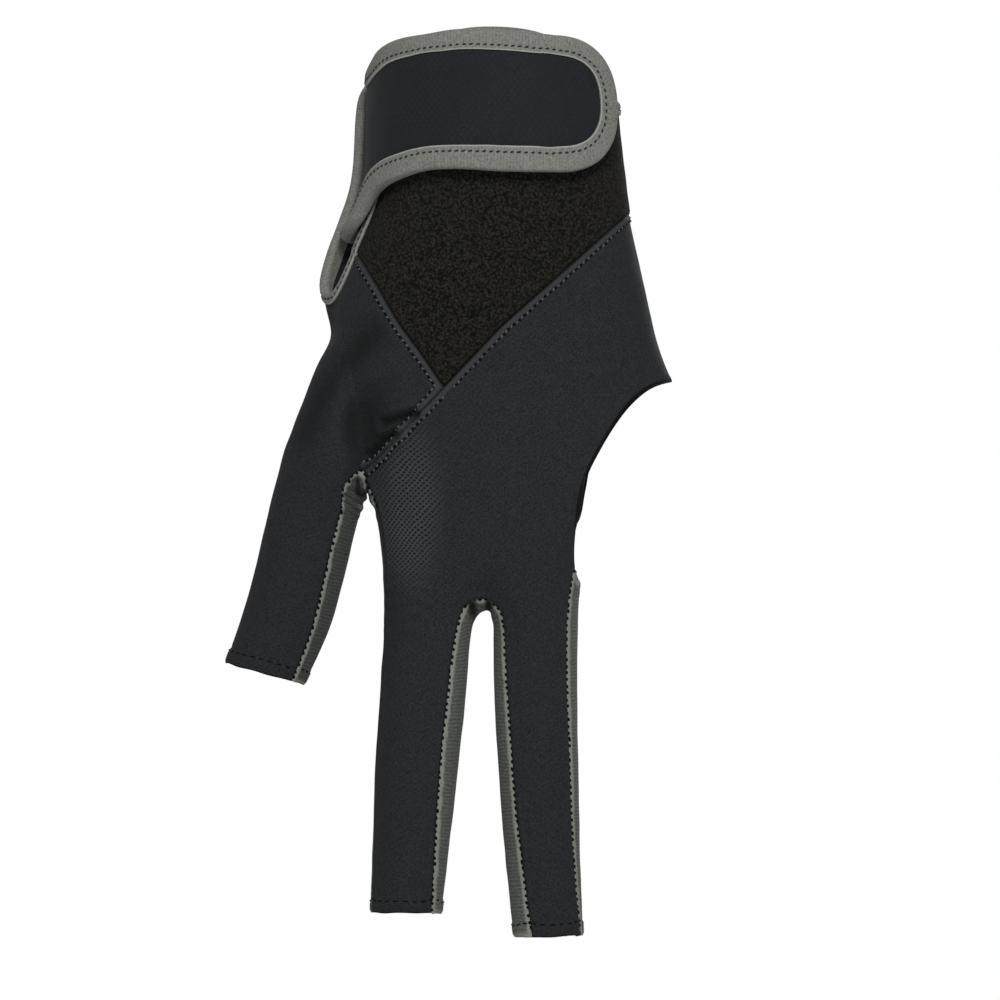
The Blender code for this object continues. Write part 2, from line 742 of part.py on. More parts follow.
def tape_section(legs, outwards, thickness, clearance):
    """The folded tape's section, round its outer leg, its fold and its inner leg.

    legs are places on the cloth's outer face with their normals, from the open edge inwards.
    """
    over = clearance + TAPE_THICKNESS
    deep = thickness + over
    under = thickness + clearance
    place, normal = legs[0]
    section = [leg + leg_normal * over for leg, leg_normal in reversed(legs[1:])]
    section.append(place + (normal + outwards) * over)
    section.append(place - normal * deep + outwards * over)
    section += [leg - leg_normal * deep for leg, leg_normal in legs[1:]]
    section += [leg - leg_normal * under for leg, leg_normal in reversed(legs[1:])]
    section.append(place - normal * under + outwards * clearance)
    section.append(place + (normal + outwards) * clearance)
    section += [leg + leg_normal * clearance for leg, leg_normal in legs[1:]]
    return section


def normal_at(face, place):
    """The smooth normal at a place on a face, from those of its corners by their nearness."""
    normal = Vector()
    for vert in face.verts:
        normal += vert.normal / max((vert.co - place).length_squared, CLOTH * CLOTH)
    return normal.normalized()


def tape_width(before, vert, after, outwards, widths):
    """The tape's width at a vertex: narrower where the edge turns sharply round the cloth."""
    width = blend(*widths, smooth_step(outwards.z))
    first, second = vert.co - before.co, after.co - vert.co
    if before is vert or after is vert:
        return width
    bend = max(first.angle(second), 0.001)
    if (second - first).dot(outwards) > 0:
        return width / (1 + FAN_NARROWING * bend)
    return min(width, FOLD_SHARE * (first.length + second.length) / 2 / bend)


def chord_sag(vert, other):
    """How far the straight line between two vertices runs under the arc that their normals show."""
    return (other.co - vert.co).length * other.normal.angle(vert.normal) / 8


def tape_solid(name, surface, path, closed, thickness, widths, steps, colour):
    """A tape folded over a surface's open edge, as wide as widths say at the sides and the top."""
    tree = BVHTree.FromBMesh(surface)
    surface.faces.ensure_lookup_table()
    count = len(path)
    solid = bmesh.new()
    rings = []
    for i, vert in enumerate(path):
        before = path[i - 1] if i or closed else vert
        after = path[(i + 1) % count] if closed or i + 1 < count else vert
        outwards = (after.co - before.co).cross(vert.normal).normalized()
        face = next(e for e in vert.link_edges if len(e.link_faces) == 1).link_faces[0]
        if outwards.dot(face.calc_center_median() - vert.co) > 0:
            outwards.negate()
        width = tape_width(before, vert, after, outwards, widths)
        legs = [(vert.co, vert.normal)]
        for step in range(1, steps + 1):
            place, _, index, _ = tree.find_nearest(vert.co - outwards * width * step / steps)
            legs.append((place, normal_at(surface.faces[index], place)))
        sag = max(chord_sag(vert, before), chord_sag(vert, after))
        section = tape_section(legs, outwards, thickness, max(TAPE_CLEARANCE, 2 * sag))
        rings.append([solid.verts.new(point) for point in section])
    size = len(rings[0])
    for i in range(count if closed else count - 1):
        this, following = rings[i], rings[(i + 1) % count]
        for j in range(size):
            after = (j + 1) % size
            solid.faces.new((this[j], this[after], following[after], following[j]))
    if not closed:
        solid.faces.new(rings[0][::-1])
        solid.faces.new(rings[-1])
    bmesh.ops.recalc_face_normals(solid, faces=solid.faces)
    mesh = bpy.data.meshes.new(name)
    solid.to_mesh(mesh)
    solid.free()
    return make_object(name, mesh, colour)


def main():
    """Builds every piece of the glove."""
    for old in list(bpy.data.objects):
        bpy.data.objects.remove(old)
    collection = bpy.data.collections.new(COLLECTION)
    bpy.context.scene.collection.children.link(collection)

    cloth = smoothed(build_cage())
    runs = border_paths(open_edges(cloth))
    rim, closed = max(runs, key=lambda run: max(v.co.z for v in run[0]))
    rim_widths = (RIM_TAPE_WIDTH, RIM_TAPE_WIDTH)
    tape_solid("wrist_binding", cloth, rim, closed, CLOTH, rim_widths, 2, GREY_TAPE)
    names = split_back(cloth)
    cloth.normal_update()
    cloth.verts.index_update()
    colours = {
        "back_panel": BLACK_KNIT,
        "thumb_panel": BLACK_KNIT,
        "loop_patch": BLACK_LOOP,
        "palm_panel": BLACK_KNIT,
        "thumb_index_gusset": GREY_KNIT,
        "index_middle_gusset": GREY_KNIT,
        "middle_outer_gusset": GREY_KNIT,
    }
    for name, colour in colours.items():
        cloth_solid(name, [f for f in cloth.faces if names[f] == name], CLOTH, colour)
    cloth.free()

    strap = strap_surface()
    edge, closed = border_paths(open_edges(strap, BARE))[0]
    strap_widths = (STRAP_TAPE_SIDE_WIDTH, STRAP_TAPE_TOP_WIDTH)
    tape_solid("strap_binding", strap, edge, closed, STRAP_THICKNESS, strap_widths, 2, GREY_TAPE)
    cloth_solid("wrist_strap", list(strap.faces), STRAP_THICKNESS, BLACK_STRAP)
    strap.free()


main()
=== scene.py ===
"""Dresses the three-finger billiard glove with its cloth, pile, strap, woven binding and stitches.

The glove hangs as it does on a left hand: +Z runs up the forearm, -Y is the side that the back of
the hand faces, and +X runs from the thumb to the little finger. Lengths are in metres.
"""

from __future__ import annotations

import functools
import logging
import math
import random
from dataclasses import dataclass
from enum import Enum
from typing import Any, Callable, Iterable, NamedTuple, Sequence

import bmesh
import bpy
import numpy as np
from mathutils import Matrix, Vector, noise
from mathutils.bvhtree import BVHTree
from mathutils.kdtree import KDTree


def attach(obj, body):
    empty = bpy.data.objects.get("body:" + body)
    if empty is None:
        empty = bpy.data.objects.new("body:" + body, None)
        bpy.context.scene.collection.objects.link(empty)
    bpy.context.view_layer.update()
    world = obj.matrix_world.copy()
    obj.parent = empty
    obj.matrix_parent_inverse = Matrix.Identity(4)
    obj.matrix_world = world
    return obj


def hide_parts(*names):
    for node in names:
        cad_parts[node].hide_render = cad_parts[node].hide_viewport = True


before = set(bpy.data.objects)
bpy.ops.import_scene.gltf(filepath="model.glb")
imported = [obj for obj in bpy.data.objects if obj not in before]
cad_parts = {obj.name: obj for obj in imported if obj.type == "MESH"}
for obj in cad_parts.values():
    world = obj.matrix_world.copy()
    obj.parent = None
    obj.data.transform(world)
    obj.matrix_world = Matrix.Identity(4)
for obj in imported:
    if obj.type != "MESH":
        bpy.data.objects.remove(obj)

log = logging.getLogger("billiard_glove")

MM = 0.001
BODY = "root"
INDEX_WRAP = -30.0 * MM


class Panel(Enum):
    """The pieces that the glove's cloth is sewn from, by the node that each replaces."""

    BACK = "back_panel"
    PALM = "palm_panel"
    THUMB_INDEX = "thumb_index_gusset"
    INDEX_MIDDLE = "index_middle_gusset"
    MIDDLE_OUTER = "middle_outer_gusset"
    THUMB = "thumb_panel"
    PILE = "loop_patch"


PANELS = tuple(Panel)
GUSSETS = (Panel.THUMB_INDEX, Panel.INDEX_MIDDLE, Panel.MIDDLE_OUTER)


class Border(Enum):
    """What an edge of a cloth panel is sewn as."""

    WELT = "raised seam across the back, with a stitch row beside it"
    GUSSET = "overlocked seam between black and grey cloth"
    TIP_HEM = "turned hem of a fingertip"
    SIDE_HEM = "turned hem of the side opening"
    TAPED = "edge inside the binding tape"


BORDERS = tuple(Border)


class HandSection(NamedTuple):
    """A level section of the hand; widths and depths blend from the wrist's to the palm's."""

    along: float
    palm: float
    sway: float
    front: float
    back: float
    power: float


class Ring(NamedTuple):
    """A section across a finger, as shares of its sizes; turns and seams are in degrees."""

    along: float
    sway: float
    width: float
    slant: float
    depth: float
    set: float
    left_seam: float
    right_seam: float


class Column(NamedTuple):
    """A line of the cage from the wrist rim to a finger's root ring or to the side opening."""

    turn: float
    finger: str | None
    place: int
    along: float
    reach: float


class StrapStation(NamedTuple):
    """The strap's edges at a turn round the wrist, as shares of its height, drop and lift."""

    turn: float
    top: float
    drop: float
    stand: float


class SeamPoint(NamedTuple):
    """A bend of a seam across the back, as shares of the palm's width and the hand's length."""

    across: float
    along: float


HAND_SECTIONS = (
    HandSection(-0.10, -0.08, -0.011, 0.00, 0.00, 2.2),
    HandSection(0.00, -0.08, -0.011, 0.00, 0.00, 2.2),
    HandSection(0.13, -0.06, -0.009, 0.00, 0.00, 2.2),
    HandSection(0.24, 0.01, 0.002, 0.03, -0.05, 2.2),
    HandSection(0.30, 0.12, -0.003, 0.07, -0.08, 2.2),
    HandSection(0.36, 0.36, -0.021, 0.14, -0.12, 2.25),
    HandSection(0.43, 0.66, -0.034, 0.30, -0.15, 2.3),
    HandSection(0.50, 0.78, -0.022, 0.50, -0.15, 2.35),
    HandSection(0.60, 0.85, 0.020, 0.75, -0.08, 2.4),
    HandSection(0.71, 0.95, 0.060, 0.92, 0.15, 2.45),
    HandSection(0.81, 0.94, 0.105, 1.00, 0.54, 2.5),
    HandSection(0.92, 0.88, 0.133, 1.05, 0.85, 2.5),
    HandSection(1.05, 0.87, 0.138, 1.10, 1.00, 2.5),
)
INDEX_RINGS = (
    Ring(0.000, 0.000, 1.26, 34, 1.16, -0.13, -70, 50),
    Ring(0.115, 0.023, 0.99, 0, 1.05, -0.17, -84, 43),
    Ring(0.360, 0.016, 1.00, 0, 1.02, -0.19, -88, 36),
    Ring(0.630, 0.003, 0.94, 0, 0.98, -0.14, -88, 38),
    Ring(0.860, 0.000, 0.865, 0, 0.93, -0.04, -88, 45),
    Ring(1.000, 0.000, 0.815, 1, 0.89, 0.04, -88, 52),
)
MIDDLE_RINGS = (
    Ring(0.000, 0.030, 1.13, -26, 1.14, -0.13, -54, 52),
    Ring(0.096, -0.018, 1.00, -5, 1.05, -0.17, -49, 49),
    Ring(0.360, -0.043, 0.985, 0, 1.02, -0.19, -40, 51),
    Ring(0.630, -0.040, 0.915, 0, 0.98, -0.14, -40, 54),
    Ring(0.848, -0.028, 0.875, 0, 0.93, -0.04, -33, 60),
    Ring(1.000, 0.000, 0.815, -2, 0.89, 0.04, -30, 72),
)
THUMB_RINGS = (
    Ring(-0.039, 0.039, 1.87, 76, 1.44, 0.16, -58, 46),
    Ring(0.163, -0.040, 1.26, 53, 1.22, 0.24, -68, 38),
    Ring(0.343, -0.010, 1.06, 34, 1.06, 0.30, -74, 35),
    Ring(0.540, 0.034, 1.00, 22, 1.00, 0.36, -75, 36),
    Ring(0.780, 0.070, 0.97, 14, 0.96, 0.44, -75, 41),
    Ring(1.000, 0.000, 0.91, 16, 0.92, 0.50, -75, 48),
)
COLUMNS = (
    Column(-89, "index", 11, 0, 0),
    Column(-66, "index", 0, 0, 0),
    Column(-48, "index", 1, 0, 0),
    Column(-34, "index", 2, 0, 0),
    Column(-21, "index", 3, 0, 0),
    Column(-11, "web", 0, 0, 0),
    Column(-1, "middle", 0, 0, 0),
    Column(10, "middle", 1, 0, 0),
    Column(21, "middle", 2, 0, 0),
    Column(33, "middle", 3, 0, -0.10),
    Column(46, None, 0, 0.800, 0.22),
    Column(58, None, 0, 0.723, 0.425),
    Column(71, None, 0, 0.646, 0.65),
    Column(81, None, 0, 0.602, 0.88),
    Column(90, None, 0, 0.606, 1.04),
    Column(99, None, 0, 0.608, 0.875),
    Column(109, None, 0, 0.656, 0.64),
    Column(122, None, 0, 0.735, 0.41),
    Column(136, None, 0, 0.806, 0.225),
    Column(150, "middle", 6, 0, -0.10),
    Column(161, "middle", 7, 0, 0),
    Column(172, "middle", 8, 0, 0),
    Column(183, "middle", 9, 0, 0),
    Column(192, "web", 3, 0, 0),
    Column(201, "index", 6, 0, 0),
    Column(212, "index", 7, 0, 0),
    Column(224, "index", 8, 0, 0),
    Column(240, "index", 9, 0, 0),
    Column(258, "index", 10, 0, 0),
)
STRAP_STATIONS = (
    StrapStation(24, 0.97, 0.00, 0.0),
    StrapStation(0, 1.01, -0.01, 0.0),
    StrapStation(-18, 1.015, -0.05, 0.0),
    StrapStation(-34, 0.98, -0.03, 0.0),
    StrapStation(-47, 0.955, 0.06, 0.05),
    StrapStation(-58, 0.915, 0.16, 0.12),
    StrapStation(-66, 0.865, 0.26, 0.22),
    StrapStation(-73, 0.80, 0.43, 0.38),
    StrapStation(-82, 0.73, 0.78, 0.46),
    StrapStation(-96, 0.67, 1.00, 0.40),
    StrapStation(-113, 0.65, 1.02, 0.30),
    StrapStation(-124, 0.65, 1.02, 0.20),
)
LONG_SEAM = (
    SeamPoint(-0.414, 0.765),
    SeamPoint(-0.178, 0.616),
    SeamPoint(-0.006, 0.510),
    SeamPoint(0.370, 0.314),
)
SHORT_SEAM = (SeamPoint(-0.481, 0.340), SeamPoint(-0.309, 0.506), SeamPoint(-0.178, 0.616))


def blend(start: Any, end: Any, share: float) -> Any:
    """Returns the value at a share of the way from start to end."""
    return start + (end - start) * share


def ease(share: float) -> float:
    """Returns a share held between 0 and 1 and eased at both ends."""
    share = max(0.0, min(1.0, share))
    return share * share * (3 - 2 * share)


def ease_all(share: np.ndarray) -> np.ndarray:
    """Returns shares held between 0 and 1 and eased at both ends."""
    share = np.clip(share, 0.0, 1.0)
    return share * share * (3 - 2 * share)


def hump(distance: np.ndarray, middle: float, spread: float) -> np.ndarray:
    """Returns a bell that is 1 at its middle and fades over its spread."""
    return np.exp(-(((distance - middle) / spread) ** 2))


def table_value(rows: Sequence[Any], key: str, column: str, at: float) -> float:
    """Reads a smooth curve through a table's column.

    Args:
        rows: The table's rows, in the order of their key.
        key: The column that says where a row lies.
        column: The column to read.
        at: Where to read it.

    Returns:
        The column's value there.
    """
    places = [getattr(row, key) for row in rows]
    values = [getattr(row, column) for row in rows]
    if places[0] > places[-1]:
        places, values = places[::-1], values[::-1]
    if at <= places[0]:
        return values[0]
    if at >= places[-1]:
        return values[-1]
    last = max(i for i, place in enumerate(places[:-1]) if place <= at)
    slopes = []
    for i in (last, last + 1):
        low, high = max(i - 1, 0), min(i + 1, len(places) - 1)
        slopes.append((values[high] - values[low]) / (places[high] - places[low]))
    span = places[last + 1] - places[last]
    t = (at - places[last]) / span
    rise = values[last + 1] - values[last]
    bend = slopes[0] * span * t * (1 - t) ** 2 - slopes[1] * span * t * t * (1 - t)
    return values[last] + rise * ease(t) + bend


def oval_point(
    turn: float, half_width: float, front: float, back: float, power: float
) -> tuple[float, float]:
    """Finds a point of a squared oval.

    Args:
        turn: Degrees round from the middle of the back of the hand.
        half_width: Half the oval's width.
        front: Its depth on the side of the back of the hand.
        back: Its depth on the palm's side.
        power: How square it is; 2 is an ellipse.

    Returns:
        How far the point lies across, and towards the palm.
    """
    sine, cosine = math.sin(math.radians(turn)), math.cos(math.radians(turn))
    across = half_width * math.copysign(abs(sine) ** (2 / power), sine)
    depth = front if cosine > 0 else back
    return across, -depth * math.copysign(abs(cosine) ** (2 / power), cosine)


@dataclass(frozen=True)
class HandForm:
    """The form that the hand gives the glove from the wrist rim to the knuckles."""

    wrist_width: float = 0.0544
    wrist_depth: float = 0.0410
    palm_width: float = 0.0776
    palm_depth: float = 0.0290
    length: float = 0.1318
    rim_height: float = 0.0173
    rim_dip: float = 0.0152
    rim_side_slope: float = 0.0012
    rim_front_slope: float = 0.0016
    swell: float = 1.010

    def section(self, height: float) -> tuple[float, float, float, float, float]:
        """Returns the middle, half width, front depth, back depth and power at a height."""
        along = (self.rim_height - height) / self.length
        palm, sway, front, back, power = (
            table_value(HAND_SECTIONS, "along", name, along) for name in HandSection._fields[1:]
        )
        return (
            sway * self.palm_width,
            blend(self.wrist_width, self.palm_width, palm) / 2,
            blend(self.wrist_depth, self.palm_depth, front) / 2,
            blend(self.wrist_depth, self.palm_depth, back) / 2,
            power,
        )

    def outwards(self, turn: float, height: float) -> Vector:
        """Returns the level direction square to the hand at a turn and height."""
        _, half_width, front, back, power = self.section(height)
        ahead = oval_point(turn + 0.5, half_width, front, back, power)
        behind = oval_point(turn - 0.5, half_width, front, back, power)
        return Vector((ahead[1] - behind[1], behind[0] - ahead[0], 0)).normalized()

    def point(self, turn: float, height: float, lift: float = 0.0) -> Vector:
        """Returns the place on the hand at a turn and height, lifted outwards."""
        middle, half_width, front, back, power = self.section(height)
        across, depth = oval_point(turn, half_width, front, back, power)
        return Vector((middle + across, depth, height)) + self.outwards(turn, height) * lift

    def turn_across(self, reach: float, height: float, palm_side: bool) -> float:
        """Returns the turn at which the hand reaches a share of its half width."""
        power = self.section(height)[4]
        turn = math.degrees(math.asin(min(1.0, abs(reach)) ** (power / 2)))
        turn = math.copysign(turn, reach)
        return 180 - turn if palm_side else turn

    def rim(self, turn: float) -> float:
        """Returns the height of the wrist rim, which dips at both sides."""
        sine, cosine = math.sin(math.radians(turn)), math.cos(math.radians(turn))
        dip = self.rim_dip * abs(sine) ** 2.5
        return self.rim_height - dip - self.rim_side_slope * sine - self.rim_front_slope * cosine


@dataclass(frozen=True)
class Finger:
    """One covered finger, from its root to its open tip."""

    root_across: float
    root_along: float
    length: float
    width: float
    depth: float
    lean: float
    rings: tuple[Ring, ...]
    swell: float = 1.045
    gusset_turn: float = 76.0
    power: float = 2.15

    def down(self) -> Vector:
        """Returns the direction from the finger's root to its tip."""
        lean = math.radians(self.lean)
        return Vector((math.sin(lean), 0, -math.cos(lean)))

    def ring_points(self, hand: HandForm, ring: Ring) -> list[Vector]:
        """Places a ring's points, from the back's left corner round by the right.

        Args:
            hand: The hand that the finger grows from.
            ring: The ring's row in the finger's table.

        Returns:
            Twelve points, three to each of the finger's four sides.
        """
        down = self.down()
        sideways = Vector((-down.z, 0, down.x))
        slant = math.radians(ring.slant)
        middle = Vector(
            (self.root_across * hand.palm_width, 0, hand.rim_height - self.root_along * hand.length)
        )
        middle += down * ring.along * self.length + sideways * ring.sway * self.width
        middle.y = ring.set * self.depth
        across = Vector((math.cos(slant), 0, -math.sin(slant)))
        half_width = self.width * ring.width / 2 * self.swell
        half_depth = self.depth * ring.depth / 2 * self.swell
        corners = (
            ring.left_seam,
            ring.right_seam,
            ring.right_seam + self.gusset_turn,
            ring.left_seam - self.gusset_turn + 360,
            ring.left_seam + 360,
        )
        points = []
        for start, end in zip(corners, corners[1:]):
            for step in range(3):
                x, y = oval_point(
                    blend(start, end, step / 3), half_width, half_depth, half_depth, self.power
                )
                points.append(middle + across * x + Vector((0, y, 0)))
        return points


@dataclass
class GloveCage:
    """The coarse cage of the whole glove, which Subdivision Surface rounds into stretched cloth."""

    hand: HandForm = HandForm()
    index: Finger = Finger(-0.2225, 0.969, 0.0744, 0.0198, 0.0182, -4.1, INDEX_RINGS)
    middle: Finger = Finger(0.0915, 0.989, 0.0771, 0.0192, 0.0182, 2.4, MIDDLE_RINGS)
    thumb: Finger = Finger(-0.4865, 0.702, 0.0572, 0.0205, 0.0190, -17.8, THUMB_RINGS)
    row_shares: tuple[float, ...] = (0.0, 0.11, 0.22, 0.33, 0.44, 0.56, 0.69, 0.805, 0.91, 1.0)
    flap_lift: float = 0.00692
    flap_columns: tuple[tuple[int, float], ...] = ((28, 1.0), (27, 0.66), (26, 0.24))
    flap_rows: tuple[float, ...] = (1.0, 1.0, 1.0, 1.0, 0.75)
    web_rise: float = 0.0034
    fork_drop: float = 0.0022
    front_columns: int = 14
    thumb_side_back: int = 1
    thumb_side_palm: int = 27
    slit_row: int = 4
    fork_row: int = 7
    fork_places: tuple[tuple[int, int], ...] = ((3, 0), (4, 11), (5, 10), (6, 9))
    levels: int = 4

    def _column_points(self, number: int, column: Column, roots: dict[str, list[Vector]]) -> list[Vector]:
        """Places a column's points from the wrist rim down.

        Args:
            number: The column's place in the table.
            column: Its row.
            roots: The root ring of each finger, and the fork between the fingers.

        Returns:
            One point for each row of the cage.
        """
        hand = self.hand
        top = hand.rim(column.turn)
        end = roots[column.finger][column.place] if column.finger else None
        if end is not None:
            bottom = end.z
            middle, half_width = hand.section(bottom)[:2]
            reach = max(-0.995, min(0.995, (end.x - middle) / half_width + column.reach))
        else:
            bottom, reach = hand.rim_height - column.along * hand.length, column.reach
        last_turn = hand.turn_across(reach, bottom, 90 < column.turn < 270)
        if column.turn > 180 and last_turn < 0:
            last_turn += 360
        lifts = dict(self.flap_columns)
        points = []
        for row, share in enumerate(self.row_shares):
            height = blend(top, bottom, share)
            turn = blend(column.turn, last_turn, share if column.finger else share * share)
            lift = 0.0
            if row < len(self.flap_rows):
                lift = self.flap_lift * lifts.get(number, 0.0) * self.flap_rows[row]
            if row == len(self.row_shares) - 1:
                lift += max(0.0, reach - 1) * hand.palm_width / 2
            if row == self.fork_row and number in (0, self.thumb_side_palm + 1):
                height -= self.fork_drop
            point = hand.point(turn, height, lift)
            middle = hand.section(height)[0]
            point.x = middle + (point.x - middle) * hand.swell
            point.y *= hand.swell
            points.append(point)
        if end is not None:
            points[-1] = end
        return points

    def _hand_panel(self, column: int, row: int) -> Panel | None:
        """Returns the panel right of a column and below a row, or None over the slit."""
        beside_thumb = column in (self.thumb_side_palm, self.thumb_side_palm + 1, 0)
        if beside_thumb and self.slit_row <= row < self.fork_row:
            return None
        if beside_thumb and row >= self.fork_row:
            return Panel.THUMB_INDEX
        if column == self.thumb_side_palm + 1:
            return None
        return Panel.BACK if column < self.front_columns else Panel.PALM

    @staticmethod
    def _finger_panel(name: str, place: int) -> Panel:
        """Returns the panel of a finger's face after a place on its ring."""
        side = place // 3
        if side == 0:
            return Panel.THUMB if name == "thumb" else Panel.BACK
        if side == 2:
            return Panel.PALM
        right = {"thumb": Panel.THUMB_INDEX, "index": Panel.INDEX_MIDDLE, "middle": Panel.MIDDLE_OUTER}
        left = {"thumb": Panel.THUMB, "index": Panel.THUMB_INDEX, "middle": Panel.INDEX_MIDDLE}
        return right[name] if side == 1 else left[name]

    def build(self) -> bmesh.types.BMesh:
        """Builds the cage.

        Returns:
            A mesh whose faces carry their panel as material index, and whose UV map measures the
            cloth in metres, along the knit's courses and down the fingers.
        """
        fingers = {"index": self.index, "middle": self.middle, "thumb": self.thumb}
        rings = {
            name: [finger.ring_points(self.hand, ring) for ring in finger.rings]
            for name, finger in fingers.items()
        }
        roots = {name: rings[name][0] for name in rings}
        roots["web"] = [
            (roots["index"][a] + roots["middle"][b]) / 2 + Vector((0, 0, self.web_rise))
            for a, b in self.fork_places
        ]
        cage = bmesh.new()
        uv_layer = cage.loops.layers.uv.new("cloth")
        root_verts = {
            name: [cage.verts.new(p) for p in roots[name]] for name in ("index", "middle", "web")
        }
        hand = []
        for number, column in enumerate(COLUMNS):
            points = self._column_points(number, column, roots)
            last = root_verts[column.finger][column.place] if column.finger else None
            verts = [cage.verts.new(p) for p in (points[:-1] if last else points)]
            hand.append(verts + [last] if last else verts)

        wraps: dict[tuple[Panel, Any], tuple[float, float]] = {}

        def add_face(corners: Sequence[Any], panel: Panel) -> None:
            """Adds one cage face with its panel and its measured UV."""
            face = cage.faces.new(corners)
            face.material_index = PANELS.index(panel)
            face.smooth = True
            for loop in face.loops:
                loop[uv_layer].uv = wraps.get((panel, loop.vert), (loop.vert.co.x, -loop.vert.co.z))

        for row in range(len(self.row_shares)):
            for panel, middle, span in (
                (Panel.BACK, 5, range(0, self.front_columns + 1)),
                (Panel.PALM, 23, range(self.front_columns, len(COLUMNS))),
            ):
                run = self._run([hand[c][row].co for c in span])
                zero = run[middle - span.start]
                sign = 1 if panel is Panel.BACK else -1
                for column, length in zip(span, run):
                    vert = hand[column][row]
                    wraps.setdefault((panel, vert), (sign * (length - zero), -vert.co.z))
        for column in range(len(COLUMNS)):
            left, right = hand[column], hand[(column + 1) % len(COLUMNS)]
            for row in range(len(self.row_shares) - 1):
                panel = self._hand_panel(column, row)
                if panel is not None:
                    add_face((left[row], left[row + 1], right[row + 1], right[row]), panel)

        thumb_root = [hand[self.thumb_side_back][row] for row in range(self.slit_row, self.fork_row + 1)]
        thumb_root += [hand[0][self.fork_row], hand[self.thumb_side_palm + 1][self.fork_row]]
        thumb_root += [
            hand[self.thumb_side_palm][row] for row in range(self.fork_row, self.slit_row - 1, -1)
        ]
        thumb_root += [hand[self.thumb_side_palm + 1][self.slit_row], hand[0][self.slit_row]]
        for name, finger in fingers.items():
            upper = thumb_root if name == "thumb" else root_verts[name]
            self._measure_ring(name, finger, upper, wraps)
            for points in rings[name] if name == "thumb" else rings[name][1:]:
                lower = [cage.verts.new(p) for p in points]
                self._measure_ring(name, finger, lower, wraps)
                for place in range(12):
                    after = (place + 1) % 12
                    corners = (upper[place], lower[place], lower[after], upper[after])
                    add_face(corners, self._finger_panel(name, place))
                upper = lower

        web = root_verts["web"]
        index_side, middle_side = (
            [root_verts[name][pair[number]] for pair in self.fork_places]
            for number, name in enumerate(("index", "middle"))
        )
        for place in range(3):
            after = place + 1
            for left, right in ((index_side, web), (web, middle_side)):
                add_face((left[after], right[after], right[place], left[place]), Panel.INDEX_MIDDLE)
        return cage

    @staticmethod
    def _run(points: Sequence[Vector]) -> list[float]:
        """Returns how far along a line of points each of them lies."""
        lengths = [0.0]
        for before, after in zip(points, points[1:]):
            lengths.append(lengths[-1] + (after - before).length)
        return lengths

    def _measure_ring(
        self,
        name: str,
        finger: Finger,
        verts: Sequence[Any],
        wraps: dict[tuple[Panel, Any], tuple[float, float]],
    ) -> None:
        """Measures a finger's ring for the UV map of each panel on it.

        Args:
            name: The finger.
            finger: Its sizes.
            verts: The ring's vertices.
            wraps: Where the measures are put, by panel and vertex.
        """
        run = self._run([v.co for v in verts] + [verts[0].co])
        down = finger.down() if name == "thumb" else Vector((0, 0, -1))
        root_x = finger.root_across * self.hand.palm_width
        for side in range(4):
            panel = self._finger_panel(name, side * 3)
            zero = (run[side * 3] + run[side * 3 + 3]) / 2
            middle = root_x if panel in (Panel.BACK, Panel.PALM, Panel.THUMB) else 0.0
            sign = -1 if panel is Panel.PALM else 1
            for place in range(side * 3, side * 3 + 4):
                vert = verts[place % 12]
                u = middle + sign * (run[place] - zero)
                wraps.setdefault((panel, vert), (u, vert.co.dot(down)))

    def smoothed(self) -> bmesh.types.BMesh:
        """Returns the rounded cloth, with its panels and UV map."""
        mesh = bpy.data.meshes.new("cloth_cage")
        cage = self.build()
        cage.to_mesh(mesh)
        cage.free()
        for _ in PANELS:
            mesh.materials.append(None)
        holder = bpy.data.objects.new("cloth_cage", mesh)
        bpy.context.scene.collection.objects.link(holder)
        rounding = holder.modifiers.new("rounding", "SUBSURF")
        rounding.levels = rounding.render_levels = self.levels
        evaluated = holder.evaluated_get(bpy.context.evaluated_depsgraph_get())
        surface = bmesh.new()
        surface.from_mesh(evaluated.to_mesh())
        evaluated.to_mesh_clear()
        bpy.data.objects.remove(holder)
        bpy.data.meshes.remove(mesh)
        return surface


def seam_height(hand: HandForm, seam: Sequence[SeamPoint], x: float) -> float:
    """Finds the height of a seam across the back of the hand.

    Args:
        hand: The hand under the cloth.
        seam: The seam's bends.
        x: How far across to look; past its ends the seam runs on straight.

    Returns:
        The seam's height there.
    """
    points = [(p.across * hand.palm_width, hand.rim_height - p.along * hand.length) for p in seam]
    for (x0, z0), (x1, z1) in zip(points, points[1:]):
        if x <= x1 or (x1, z1) == points[-1]:
            return blend(z0, z1, (x - x0) / (x1 - x0))
    raise ValueError("a seam needs two points")


@dataclass
class SeamLine:
    """A sewn or open edge of the cloth, as an ordered line of its vertices."""

    border: Border
    panels: frozenset[Panel]
    verts: list[int]
    closed: bool
    points: list[Vector]
    normals: list[Vector]
    lengths: list[float]

    def tangent(self, number: int) -> Vector:
        """Returns the line's direction at one of its vertices."""
        count = len(self.points)
        before = self.points[(number - 2) % count if self.closed else max(number - 2, 0)]
        after = self.points[(number + 2) % count if self.closed else min(number + 2, count - 1)]
        return (after - before).normalized()


@dataclass(frozen=True)
class Crease:
    """A soft fold in the stretched cloth of the back, as places (x, z) in millimetres."""

    places: tuple[tuple[float, float], ...]
    depth: float
    spread: float
    # How dark the fold's groove is painted, as painted shade.
    shade: float = 0.0


